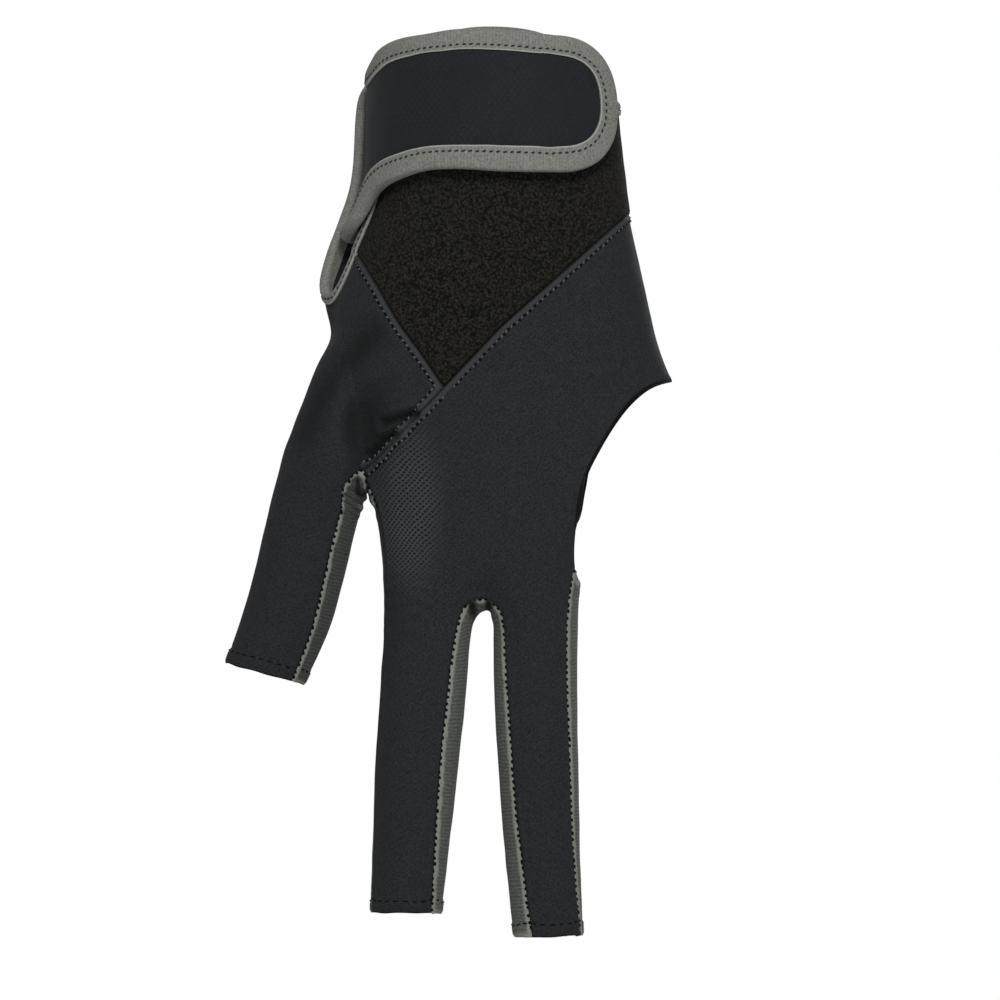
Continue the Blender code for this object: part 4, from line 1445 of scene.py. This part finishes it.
@dataclass
class Seamwork:
    """Works out where the glove's stitch rows run on the finished cloth."""

    cloth: SewnCloth
    welt_inset: float = 1.55 * MM
    tip_inset: float = 3.5 * MM
    web_height: float = -0.0925

    def __post_init__(self) -> None:
        """Gathers the cloth's faces by panel, to lay rows on."""
        self.trees: dict[Panel, BVHTree] = {}
        surface = self.cloth.surface
        places = [v.co.copy() for v in surface.verts]
        for number, panel in enumerate(PANELS):
            faces = [tuple(v.index for v in f.verts) for f in surface.faces if f.material_index == number]
            self.trees[panel] = BVHTree.FromPolygons(places, faces)

    def beside(self, line: SeamLine, panel: Panel, inset: float) -> list[Spot]:
        """Lays a row beside a seam or hem.

        Args:
            line: The seam or hem.
            panel: The panel that the row is on.
            inset: How far from the edge it runs.

        Returns:
            The row's places, in order.
        """
        tree, row = self.trees[panel], []
        step = 3
        for i in range(0, len(line.points), step):
            point, normal, along = line.points[i], line.normals[i], line.tangent(i)
            across = along.cross(normal).normalized()
            sides = []
            for side in (across, -across):
                place, face_normal, _, _ = tree.find_nearest(point + side * inset)
                sides.append(((place - point - side * inset).length, place, face_normal))
            _, place, face_normal = min(sides, key=lambda found: found[0])
            row.append(Spot(place, face_normal, along))
        if line.closed:
            row.append(row[0])
        return row

    def welts(self) -> list[list[Spot]]:
        """Returns the rows beside the raised seams across the back."""
        rows = []
        for line in self.cloth.lines:
            if line.border is Border.WELT:
                rows += [
                    self.beside(line, panel, self.welt_inset)
                    for panel in sorted(line.panels - {Panel.PILE}, key=lambda p: p.value)
                ]
        return rows

    def hems(self) -> list[list[Spot]]:
        """Returns the rows of the fingertips' hems."""
        rows = []
        for line in self.cloth.lines:
            if line.border is not Border.TIP_HEM:
                continue
            inset, row = self.tip_inset, []
            for i in range(0, len(line.points), 3):
                point, normal, along = line.points[i], line.normals[i], line.tangent(i)
                across = along.cross(normal).normalized()
                found = []
                for side in (across, -across):
                    for panel in line.panels:
                        place, face_normal, _, away = self.trees[panel].find_nearest(point + side * inset)
                        found.append((away, tuple(place), place, face_normal))
                _, _, place, face_normal = min(found, key=lambda spot: spot[:2])
                row.append(Spot(place, face_normal, along))
            if line.closed:
                row.append(row[0])
            rows.append(row)
        return rows

    def overlocks(self) -> list[list[Spot]]:
        """Returns the seams between the black cloth and the grey gussets, where they show."""
        rows = []
        for line in self.cloth.lines:
            if line.border is not Border.GUSSET:
                continue
            wrapped = line.panels == {Panel.THUMB_INDEX, Panel.BACK}
            row: list[Spot] = []
            for i, (point, normal) in enumerate(zip(line.points, line.normals)):
                if wrapped and point.x > INDEX_WRAP and point.z < self.web_height:
                    rows.append(row)
                    row = []
                else:
                    row.append(Spot(point, normal, line.tangent(i)))
            rows.append(row)
        return [row for row in rows if len(row) > 3]


def linear(code: str) -> tuple[float, float, float, float]:
    """Turns an sRGB hex colour into the linear one that the shaders take.

    Args:
        code: The colour, such as "#26292b".

    Returns:
        Its linear red, green, blue and alpha.
    """
    shares = [int(code[i : i + 2], 16) / 255 for i in (1, 3, 5)]
    bright = [s / 12.92 if s <= 0.04045 else ((s + 0.055) / 1.055) ** 2.4 for s in shares]
    return bright[0], bright[1], bright[2], 1.0


def node(
    tree: bpy.types.NodeTree,
    kind: str,
    settings: dict[str | int, Any],
    links: dict[str | int, bpy.types.NodeSocket],
    output: str | int = 0,
) -> bpy.types.NodeSocket:
    """Adds a shader node with its settings and links.

    Args:
        tree: The material's nodes.
        kind: The node's type, without the words that every shader node's type starts with.
        settings: Its properties by name, and its unlinked inputs by name or number.
        links: The sockets that feed its inputs, by name or number.
        output: Which of its outputs is wanted.

    Returns:
        That output.
    """
    made = tree.nodes.new(f"ShaderNode{kind}")
    for key, value in settings.items():
        if isinstance(key, str) and hasattr(made, key):
            setattr(made, key, value)
        else:
            made.inputs[key].default_value = value
    for key, socket in links.items():
        tree.links.new(socket, made.inputs[key])
    return made.outputs[output]


@dataclass
class Finish:
    """A surface of the glove, with the coordinates that its pattern is laid out on."""

    name: str
    roughness: float = 0.85
    gloss: float = 0.10
    sheen: float = 0.0
    sheen_tint: str = "#ffffff"
    relief: float = 0.1 * MM
    relief_strength: float = 0.8

    def __post_init__(self) -> None:
        """Makes the material, with its shader's even values and its laid-out pattern."""
        self.material = bpy.data.materials.new(self.name)
        self.material.use_nodes = True
        self.tree = self.material.node_tree
        self.add = functools.partial(node, self.tree)
        shader = self.tree.nodes["Principled BSDF"]
        shader.inputs["Roughness"].default_value = self.roughness
        shader.inputs["Metallic"].default_value = 0.0
        shader.inputs["Specular IOR Level"].default_value = self.gloss
        shader.inputs["Sheen Weight"].default_value = self.sheen
        shader.inputs["Sheen Roughness"].default_value = 0.6
        shader.inputs["Sheen Tint"].default_value = linear(self.sheen_tint)
        place = self.add("TexCoord", {}, {}, "Object")
        self.place = self.add("VectorMath", {"operation": "SCALE", "Scale": 1000.0}, {0: place})
        colour, height = self.pattern()
        bump = self.add(
            "Bump", {"Strength": self.relief_strength, "Distance": self.relief}, {"Height": height}
        )
        self.tree.links.new(colour, shader.inputs["Base Color"])
        self.tree.links.new(bump, shader.inputs["Normal"])

    def pattern(self) -> tuple[bpy.types.NodeSocket, bpy.types.NodeSocket]:
        """Returns the surface's colour, and its height in shares of the relief."""
        raise NotImplementedError

    def cloth_axes(self) -> tuple[bpy.types.NodeSocket, bpy.types.NodeSocket]:
        """Returns the distances along and down the cloth, in millimetres."""
        uv = self.add("UVMap", {"uv_map": "cloth"}, {})
        scaled = self.add("VectorMath", {"operation": "SCALE", "Scale": 1000.0}, {0: uv})
        return (
            self.add("SeparateXYZ", {}, {0: scaled}, "X"),
            self.add("SeparateXYZ", {}, {0: scaled}, "Y"),
        )

    def waves(self, distance: bpy.types.NodeSocket, pitch: float) -> bpy.types.NodeSocket:
        """Lays out even ribs or rows.

        Args:
            distance: The distance across them in millimetres.
            pitch: How far apart they are in millimetres.

        Returns:
            1 on each rib and 0 halfway between two.
        """
        angle = self.add("Math", {"operation": "MULTIPLY", 1: 2 * math.pi / pitch}, {0: distance})
        wave = self.add("Math", {"operation": "COSINE"}, {0: angle})
        return self.add("MapRange", {"From Min": -1.0, "From Max": 1.0}, {"Value": wave})

    def spread(self, centre: tuple[float, float], reach: tuple[float, float]) -> bpy.types.NodeSocket:
        """Marks an oval place on the glove.

        Args:
            centre: Its middle as x and z in millimetres.
            reach: Its half width and half height in millimetres.

        Returns:
            1 in the middle of it and 0 at its edge and outside.
        """
        moved = self.add(
            "VectorMath", {"operation": "SUBTRACT", 1: (centre[0], 0.0, centre[1])}, {0: self.place}
        )
        sized = self.add(
            "VectorMath", {"operation": "MULTIPLY", 1: (1 / reach[0], 0.0, 1 / reach[1])}, {0: moved}
        )
        away = self.add("VectorMath", {"operation": "LENGTH"}, {0: sized}, "Value")
        return self.add(
            "MapRange", {"interpolation_type": "SMOOTHSTEP", "From Min": 1.0, "From Max": 0.25},
            {"Value": away},
        )


@dataclass
class BlackStretchKnit(Finish):
    """Elastane warp knit, heat-set: matt black with a soft grain and a fine slanting net.

    The net opens where the cloth is stretched below the thumb. Raised seams carry a painted
    highlight, and every seam's line is a thin line of painted shade.
    """

    name: str = "black_stretch_knit"
    sheen: float = 0.03
    sheen_tint: str = "#b4b8bc"
    relief: float = 0.26 * MM
    dark: str = "#0e0f10"
    light: str = "#242527"
    net: str = "#3f4041"
    # seam is the colour of the painted highlight on raised seams.
    seam: str = "#36383a"
    # groove is the colour of the painted shade along seams and in folds, and of the net's gaps.
    groove: str = "#050505"
    net_pitch: float = 1.8
    net_slope: float = 1.5
    course_pitch: float = 1.5

    def pattern(self) -> tuple[bpy.types.NodeSocket, bpy.types.NodeSocket]:
        """Lays out the grain, the net, the painted highlight on raised seams, and painted shade along seams and
        in folds.
        """
        add = self.add
        u, v = self.cloth_axes()
        slope = self.net_slope
        wander = add("TexNoise", {"Scale": 0.16, "Detail": 2.0}, {"Vector": self.place})
        u = add("Math", {"operation": "MULTIPLY_ADD", 1: 3.5}, {0: wander, 2: u})
        rise = add("Math", {"operation": "MULTIPLY_ADD", 1: slope}, {0: v, 2: u})
        fall = add("Math", {"operation": "MULTIPLY_ADD", 1: -slope}, {0: v, 2: u})
        rising, falling = self.waves(rise, self.net_pitch), self.waves(fall, self.net_pitch)
        softer = add("Math", {"operation": "MULTIPLY", 1: 0.88}, {0: falling})
        net = add("Math", {"operation": "MAXIMUM"}, {0: rising, 1: softer})
        net = add("Math", {"operation": "POWER", 1: 1.6}, {0: net})
        # The knit's real courses are finer than the picture's dots, so the grain is drawn coarser.
        grain = add("TexNoise", {"Scale": 2.4, "Detail": 3.0, "Roughness": 0.7}, {"Vector": self.place})
        courses = self.waves(v, self.course_pitch)
        fine = add("MapRange", {"From Min": 0.34, "From Max": 0.68}, {"Value": grain})
        colour = add("Mix", {"data_type": "RGBA", 6: linear(self.dark), 7: linear(self.light)}, {0: fine}, 2)
        stretched = self.spread((-21.8, -91.0), (10.0, 25.0))
        open_net = add("MapRange", {"To Min": 0.04, "To Max": 0.62}, {"Value": stretched})
        shows = add("Math", {"operation": "MULTIPLY"}, {0: net, 1: open_net})
        colour = add("Mix", {"data_type": "RGBA", 7: linear(self.net)}, {0: shows, 6: colour}, 2)
        gaps = add("Math", {"operation": "MULTIPLY_ADD", 1: -1.6, 2: 1.2}, {0: net})
        gaps = add("Math", {"operation": "MULTIPLY", "use_clamp": True}, {0: gaps, 1: open_net})
        colour = add("Mix", {"data_type": "RGBA", 7: linear(self.groove)}, {0: gaps, 6: colour}, 2)
        # A raised seam runs between a panel's edge and its row of stitches, and is lightened there with a
        # painted highlight.
        row = add("Attribute", {"attribute_name": "row_mm"}, {}, "Fac")
        inner = add("Math", {"operation": "ADD", 1: 0.78}, {0: row})
        welt_highlight = add("Math", {"operation": "ABSOLUTE"}, {0: inner})
        welt_highlight = add("MapRange", {"From Min": 0.75, "From Max": 0.35, "To Max": 0.5}, {"Value": welt_highlight})
        colour = add("Mix", {"data_type": "RGBA", 7: linear(self.seam)}, {0: welt_highlight, 6: colour}, 2)
        # Painted shade in each seam's groove: a dark line along a gusset's seam, and hardly any along a raised
        # one.
        edge = add("Attribute", {"attribute_name": "seam_mm"}, {}, "Fac")
        line = add("MapRange", {"From Min": 0.5, "From Max": 0.2}, {"Value": edge})
        plain = {"From Min": 7.5, "From Max": 8.5, "To Min": 0.3, "To Max": 0.9}
        deep = add("MapRange", plain, {"Value": row})
        line = add("Math", {"operation": "MULTIPLY"}, {0: line, 1: deep})
        colour = add("Mix", {"data_type": "RGBA", 7: linear(self.groove)}, {0: line, 6: colour}, 2)
        # Painted shade in the creases and the hollow, read from the fold attribute.
        fold = add("Attribute", {"attribute_name": "fold"}, {}, "Fac")
        colour = add("Mix", {"data_type": "RGBA", 7: linear(self.groove)}, {0: fold, 6: colour}, 2)
        lattice = add("Math", {"operation": "MULTIPLY_ADD", 1: 0.55}, {0: grain, 2: shows})
        height = add("Math", {"operation": "MULTIPLY_ADD", 1: 0.06}, {0: courses, 2: lattice})
        return colour, height


@dataclass
class GreyGussetKnit(Finish):
    """Grey polyester rib knit: fine ribs across the finger, with a painted highlight beside the seams.

    The tucks are folds of the gusset at the fork of two fingers, darkened with painted shade.
    Past the wrap, the black cloth's edge turns over the gusset's.
    """

    name: str = "grey_gusset_knit"
    sheen: float = 0.03
    relief: float = 0.2 * MM
    dark: str = "#353735"
    light: str = "#51534f"
    # edge is the colour of the painted highlight beside the seams.
    edge: str = "#6b6d67"
    # fold is the colour of the painted shade in the tucks.
    fold: str = "#0c0c0c"
    rib_pitch: float = 0.85
    edge_width: float = 1.0
    tucks: tuple[tuple[float, float, float, float], ...] = ()
    wrap: float | None = None

    def pattern(self) -> tuple[bpy.types.NodeSocket, bpy.types.NodeSocket]:
        """Lays out the ribs, the mottling, the painted highlight beside the seams and the painted shade of the
        tucks.
        """
        add = self.add
        _, v = self.cloth_axes()
        wander = add("TexNoise", {"Scale": 0.4, "Detail": 2.0}, {"Vector": self.place})
        bent = add("Math", {"operation": "MULTIPLY_ADD", 1: 1.2}, {0: wander, 2: v})
        ribs = self.waves(bent, self.rib_pitch)
        grain = add("TexNoise", {"Scale": 1.6, "Detail": 3.0, "Roughness": 0.7}, {"Vector": self.place})
        tone = add("Math", {"operation": "MULTIPLY_ADD", 1: 0.35}, {0: ribs, 2: grain})
        share = add("MapRange", {"From Min": 0.38, "From Max": 0.95}, {"Value": tone})
        colour = add("Mix", {"data_type": "RGBA", 6: linear(self.dark), 7: linear(self.light)}, {0: share}, 2)
        # Painted highlight beside the seams, made ragged by the noise.
        seam = add("Attribute", {"attribute_name": "seam_mm"}, {}, "Fac")
        ragged = add("Math", {"operation": "MULTIPLY_ADD", 1: -1.1}, {0: wander, 2: seam})
        seam_highlight = add(
            "MapRange",
            {"From Min": self.edge_width - 0.2, "From Max": self.edge_width - 0.9, "To Max": 0.9},
            {"Value": ragged},
        )
        colour = add("Mix", {"data_type": "RGBA", 7: linear(self.edge)}, {0: seam_highlight, 6: colour}, 2)
        # Painted shade in the tucks.
        for x, z, wide, tall in self.tucks:
            dark = self.spread((x, z), (wide, tall))
            colour = add("Mix", {"data_type": "RGBA", 7: linear(self.fold)}, {0: dark, 6: colour}, 2)
        if self.wrap is not None:
            x = add("SeparateXYZ", {}, {0: self.place})
            past = add("MapRange", {"From Min": self.wrap, "From Max": self.wrap + 0.5}, {"Value": x})
            near = add("MapRange", {"From Min": 1.6, "From Max": 1.3}, {"Value": seam})
            turned = add("Math", {"operation": "MULTIPLY"}, {0: past, 1: near})
            colour = add("Mix", {"data_type": "RGBA", 7: linear("#1a1b1c")}, {0: turned, 6: colour}, 2)
        return colour, tone


@dataclass
class BrushedLoopPile(Finish):
    """Brushed nylon loop pile: a deep black fuzz, with painted shade in its gaps and painted highlights where
    the loops' tips catch the light.
    """

    name: str = "brushed_loop_pile"
    roughness: float = 1.0
    gloss: float = 0.05
    sheen: float = 0.04
    sheen_tint: str = "#b0aca0"
    relief: float = 0.6 * MM
    relief_strength: float = 1.0
    # deep and tip are the colours of the painted shade in the gaps and the painted highlight on the tips.
    deep: str = "#060606"
    middle: str = "#171715"
    tip: str = "#262521"
    loop_size: float = 0.7

    def pattern(self) -> tuple[bpy.types.NodeSocket, bpy.types.NodeSocket]:
        """Lays out the loops: painted shade in the gaps, black fuzz and a few painted highlights on the tips.
        """
        add = self.add
        loops = add(
            "TexVoronoi", {"feature": "SMOOTH_F1", "Scale": 1 / self.loop_size, "Smoothness": 0.4},
            {"Vector": self.place}, "Distance",
        )
        fuzz = add("TexNoise", {"Scale": 2.7, "Detail": 4.0, "Roughness": 0.6}, {"Vector": self.place})
        height = add("Math", {"operation": "MULTIPLY_ADD", 1: -0.45}, {0: loops, 2: fuzz})
        # The colour follows the bump's height: painted shade low in the gaps, painted highlight on the tips.
        low = add("MapRange", {"From Min": 0.14, "From Max": 0.34}, {"Value": height})
        high = add("MapRange", {"From Min": 0.26, "From Max": 0.50}, {"Value": height})
        colour = add("Mix", {"data_type": "RGBA", 6: linear(self.deep), 7: linear(self.middle)}, {0: low}, 2)
        colour = add("Mix", {"data_type": "RGBA", 7: linear(self.tip)}, {0: high, 6: colour}, 2)
        # Painted shade in the groove along the pile's seams.
        edge = add("Attribute", {"attribute_name": "seam_mm"}, {}, "Fac")
        line = add("MapRange", {"From Min": 0.6, "From Max": 0.25}, {"Value": edge})
        return add("Mix", {"data_type": "RGBA", 7: linear("#020202")}, {0: line, 6: colour}, 2), height


@dataclass
class StrapCloth(Finish):
    """Laminated stretch cloth of the strap: flat and blue-black, with a faint slanting mesh."""

    name: str = "laminated_strap_cloth"
    roughness: float = 0.75
    sheen: float = 0.03
    relief: float = 0.16 * MM
    dark: str = "#0c0d0f"
    light: str = "#202226"
    pitch: float = 1.5

    def pattern(self) -> tuple[bpy.types.NodeSocket, bpy.types.NodeSocket]:
        """Lays out the slanting mesh, which fades in and out, and the cloth's grain."""
        add = self.add
        u, v = self.cloth_axes()
        rising = self.waves(add("Math", {"operation": "MULTIPLY_ADD", 1: 0.75}, {0: v, 2: u}), self.pitch)
        falling = self.waves(add("Math", {"operation": "MULTIPLY_ADD", 1: -0.75}, {0: v, 2: u}), self.pitch)
        mesh = add("Math", {"operation": "MULTIPLY"}, {0: rising, 1: falling})
        patches = add("TexNoise", {"Scale": 0.14, "Detail": 1.0}, {"Vector": self.place})
        shows = add("MapRange", {"From Min": 0.35, "From Max": 0.7, "To Max": 0.22}, {"Value": patches})
        mesh = add("Math", {"operation": "MULTIPLY"}, {0: mesh, 1: shows})
        grain = add("TexNoise", {"Scale": 2.4, "Detail": 3.0, "Roughness": 0.7}, {"Vector": self.place})
        tone = add("Math", {"operation": "MULTIPLY_ADD", 1: 0.9}, {0: grain, 2: mesh})
        share = add("MapRange", {"From Min": 0.28, "From Max": 0.95}, {"Value": tone})
        colour = add("Mix", {"data_type": "RGBA", 6: linear(self.dark), 7: linear(self.light)}, {0: share}, 2)
        return colour, tone


@dataclass
class WovenTape(Finish):
    """Grey polyester binding tape, woven with fine ribs across it, with a painted highlight along its inner
    edge.
    """

    name: str = "woven_binding_tape"
    roughness: float = 0.8
    sheen: float = 0.05
    relief: float = 0.10 * MM
    dark: str = "#474844"
    light: str = "#71726d"
    inner_edge_highlight: str = "#90918b"
    rib_pitch: float = 0.75

    def pattern(self) -> tuple[bpy.types.NodeSocket, bpy.types.NodeSocket]:
        """Lays out the ribs, the weave's grain and the painted highlight along the inner edge."""
        add = self.add
        u, v = self.cloth_axes()
        ribs = self.waves(u, self.rib_pitch)
        grain = add("TexNoise", {"Scale": 1.9, "Detail": 3.0, "Roughness": 0.7}, {"Vector": self.place})
        tone = add("Math", {"operation": "MULTIPLY_ADD", 1: 0.10}, {0: ribs, 2: grain})
        share = add("MapRange", {"From Min": 0.30, "From Max": 0.80}, {"Value": tone})
        colour = add("Mix", {"data_type": "RGBA", 6: linear(self.dark), 7: linear(self.light)}, {0: share}, 2)
        # Painted highlight along the tape's inner edge.
        inner = add("MapRange", {"From Min": 0.45, "From Max": 0.15, "To Max": 0.6}, {"Value": v})
        colour = add("Mix", {"data_type": "RGBA", 7: linear(self.inner_edge_highlight)}, {0: inner, 6: colour}, 2)
        return colour, tone


@dataclass
class SewingThread(Finish):
    """Twisted polyester thread, whose plies show as a small soft glint on each stitch."""

    roughness: float = 0.5
    gloss: float = 0.3
    relief: float = 0.05 * MM
    dark: str = "#060606"
    light: str = "#101011"
    twist_pitch: float = 0.35

    def pattern(self) -> tuple[bpy.types.NodeSocket, bpy.types.NodeSocket]:
        """Lays out the thread's plies."""
        add = self.add
        across = add("VectorMath", {"operation": "DOT_PRODUCT", 1: (1, 0, 1)}, {0: self.place}, "Value")
        plies = self.waves(across, self.twist_pitch)
        colour = add("Mix", {"data_type": "RGBA", 6: linear(self.dark), 7: linear(self.light)}, {0: plies}, 2)
        return colour, plies


@dataclass
class WhitePaper(Finish):
    """Matt white paper under the glove, as pale as the light on it."""

    name: str = "white_paper"
    roughness: float = 0.95
    pale: str = "#c9c9c7"
    paler: str = "#d2d2d0"

    def pattern(self) -> tuple[bpy.types.NodeSocket, bpy.types.NodeSocket]:
        """Lays out the paper's slight mottling."""
        fibres = self.add("TexNoise", {"Scale": 0.2, "Detail": 3.0}, {"Vector": self.place})
        ends = {"data_type": "RGBA", 6: linear(self.pale), 7: linear(self.paler)}
        return self.add("Mix", ends, {0: fibres}, 2), fibres


@dataclass(frozen=True)
class Studio:
    """A long lens level with the glove, a pale floor below it, and soft light all round."""

    distance: float = 5.0
    frame_width: float = 0.230
    centre: tuple[float, float] = (-0.0009, -0.0897)
    sensor: float = 36.0
    floor_height: float = -0.30
    surround: float = 0.42

    def build(self) -> None:
        """Sets up the camera, the floor and the lights."""
        scene = bpy.context.scene
        lens = bpy.data.cameras.new("long_lens")
        lens.sensor_width = self.sensor
        lens.lens = self.sensor * self.distance / self.frame_width
        lens.clip_end = 50.0
        camera = bpy.data.objects.new("long_lens", lens)
        scene.collection.objects.link(camera)
        camera.location = (self.centre[0], -self.distance, self.centre[1])
        camera.rotation_euler = (math.pi / 2, 0, 0)
        scene.camera = camera

        bpy.ops.object.select_all(action="DESELECT")
        bpy.ops.mesh.primitive_plane_add(size=3.0, location=(0, 0, self.floor_height))
        floor = bpy.context.object
        floor.name = "paper_floor"
        bpy.ops.object.transform_apply(location=True, rotation=True, scale=True)
        floor.data.materials.append(WhitePaper().material)

        world = bpy.data.worlds.new("white_surround")
        world.use_nodes = True
        surround = world.node_tree.nodes["Background"]
        surround.inputs["Color"].default_value = (1, 1, 1, 1)
        aim = node(world.node_tree, "TexCoord", {}, {}, "Generated")
        behind = node(world.node_tree, "SeparateXYZ", {}, {0: aim}, "Y")
        span = {"From Min": 0.80, "From Max": 0.98, "To Min": self.surround, "To Max": 1.0}
        glow = node(world.node_tree, "MapRange", span, {"Value": behind})
        world.node_tree.links.new(glow, surround.inputs["Strength"])
        scene.world = world
        scene.view_settings.view_transform = "Standard"
        self._softbox("key_softbox", (0.12, -1.25, 0.72), 0.35, 21.0)
        self._softbox("fill_softbox", (-0.1, -1.7, -0.05), 0.6, 5.0)
        self._softbox("back_softbox", (0.5, 1.5, 0.7), 0.6, 16.0)

    def _softbox(self, name: str, place: tuple[float, float, float], size: float, power: float) -> None:
        """Hangs a soft light that faces the middle of the glove."""
        light = bpy.data.lights.new(name, "AREA")
        light.energy = power
        light.size = size
        lamp = bpy.data.objects.new(name, light)
        bpy.context.scene.collection.objects.link(lamp)
        lamp.location = place
        aim = Vector((0, 0, self.centre[1])) - Vector(place)
        lamp.rotation_euler = aim.to_track_quat("-Z", "Y").to_euler()


def dress(piece: bpy.types.Object, finish: Finish, slot: str, *nodes: str) -> None:
    """Gives a piece its finish and its place on the glove.

    Args:
        piece: The piece.
        finish: Its finish.
        slot: The record's material slot; not used.
        nodes: The CAD nodes that it stands for.
    """
    piece.data.materials.clear()
    piece.data.materials.append(finish.material)
    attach(piece, BODY)
    if nodes:
        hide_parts(*nodes)
    log.info("%s: %d faces", piece.name, len(piece.data.polygons))


def main() -> None:
    """Builds the glove's visible pieces and its studio."""
    logging.basicConfig(level=logging.INFO, format="%(message)s")
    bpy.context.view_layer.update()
    Studio().build()

    knit, pile, strap_cloth, tape_finish = BlackStretchKnit(), BrushedLoopPile(), StrapCloth(), WovenTape()
    black_thread = SewingThread("black_thread", roughness=0.9, gloss=0.03)
    charcoal_thread = SewingThread("charcoal_thread", gloss=0.1, dark="#141415", light="#242426")
    # This lighter thread is a painted highlight on the welt's black thread.
    painted_highlight_thread = SewingThread("painted_highlight_thread", dark="#303234", light="#505254", gloss=0.4)
    finishes = {
        Panel.PILE: pile,
        # The thumb's web gusset is painted darker than the other gussets as painted shade, and its pleats carry
        # painted shade too.
        Panel.THUMB_INDEX: GreyGussetKnit(
            "shaded_grey_web_knit", dark="#272928", light="#3d3f3d", edge_width=0.8, wrap=INDEX_WRAP / MM,
            tucks=((-33.6, -86.6, 0.8, 4.0), (-31.4, -87.4, 0.7, 3.4)),
        ),
        # The tucks at the fork are darkened with painted shade.
        Panel.INDEX_MIDDLE: GreyGussetKnit(
            "grey_fork_knit", tucks=((-7.2, -114.8, 1.6, 3.4), (-3.6, -114.2, 1.2, 3.2))
        ),
        Panel.MIDDLE_OUTER: GreyGussetKnit(),
    }

    cloth = SewnCloth(GloveCage())
    for panel in PANELS:
        dress(cloth.panel_object(panel), finishes.get(panel, knit), panel.value, panel.value)

    rim = cloth.rim_line()
    rim_tape = BindingTape("wrist_binding_tape", cloth.thickness, 3.0 * MM, 3.0 * MM)
    piece, rim_row = rim_tape.build(cloth.surface, rim.points, rim.normals, rim.closed)
    dress(piece, tape_finish, "wrist_binding", "wrist_binding")

    strap = WristStrap(cloth.cage.hand)
    sheet = strap.face()
    points, normals = strap.taped_edge(sheet)
    strap_tape = BindingTape("strap_binding_tape", strap.thickness, 5.2 * MM, 3.9 * MM)
    piece, strap_row = strap_tape.build(sheet, points, normals, False)
    dress(piece, tape_finish, "strap_binding", "strap_binding")
    dress(strap.build(sheet), strap_cloth, "wrist_strap", "wrist_strap")
    sheet.free()

    seams = Seamwork(cloth)
    sewing = (
        ("tape_stitches", 1.6, 1.1, 0.24, 14, 0.05, 0.5, 0.06, [strap_row, rim_row], charcoal_thread,
         "strap_binding"),
        # The welt's black thread is drawn grey as a painted highlight, and its needle holes are black dots of
        # painted shade.
        ("welt_stitches", 1.6, 0.80, 0.21, 32, 0.10, 0.5, 0.2, seams.welts(), painted_highlight_thread, "back_panel"),
        ("welt_needle_hole_shade", 1.6, 0.85, 0.40, 0, 0.0, 0.0, 0.1, seams.welts(), black_thread, "back_panel"),
        ("hem_stitches", 2.2, 1.5, 0.17, 0, 0.04, 0.5, 0.1, seams.hems(), black_thread, "back_panel"),
        ("overlock_stitches", 1.55, 1.3, 0.38, 35, 0.02, 0.5, 0.25, seams.overlocks(), black_thread,
         "palm_panel"),
    )
    for name, pitch, length, radius, slant, lift, offset, unevenness, rows, thread, slot in sewing:
        row = StitchRow(name, pitch * MM, length * MM, radius * MM, slant, lift * MM, offset, unevenness)
        dress(row.build(rows), thread, slot)
    cloth.surface.free()


if __name__ == "__main__":
    main()
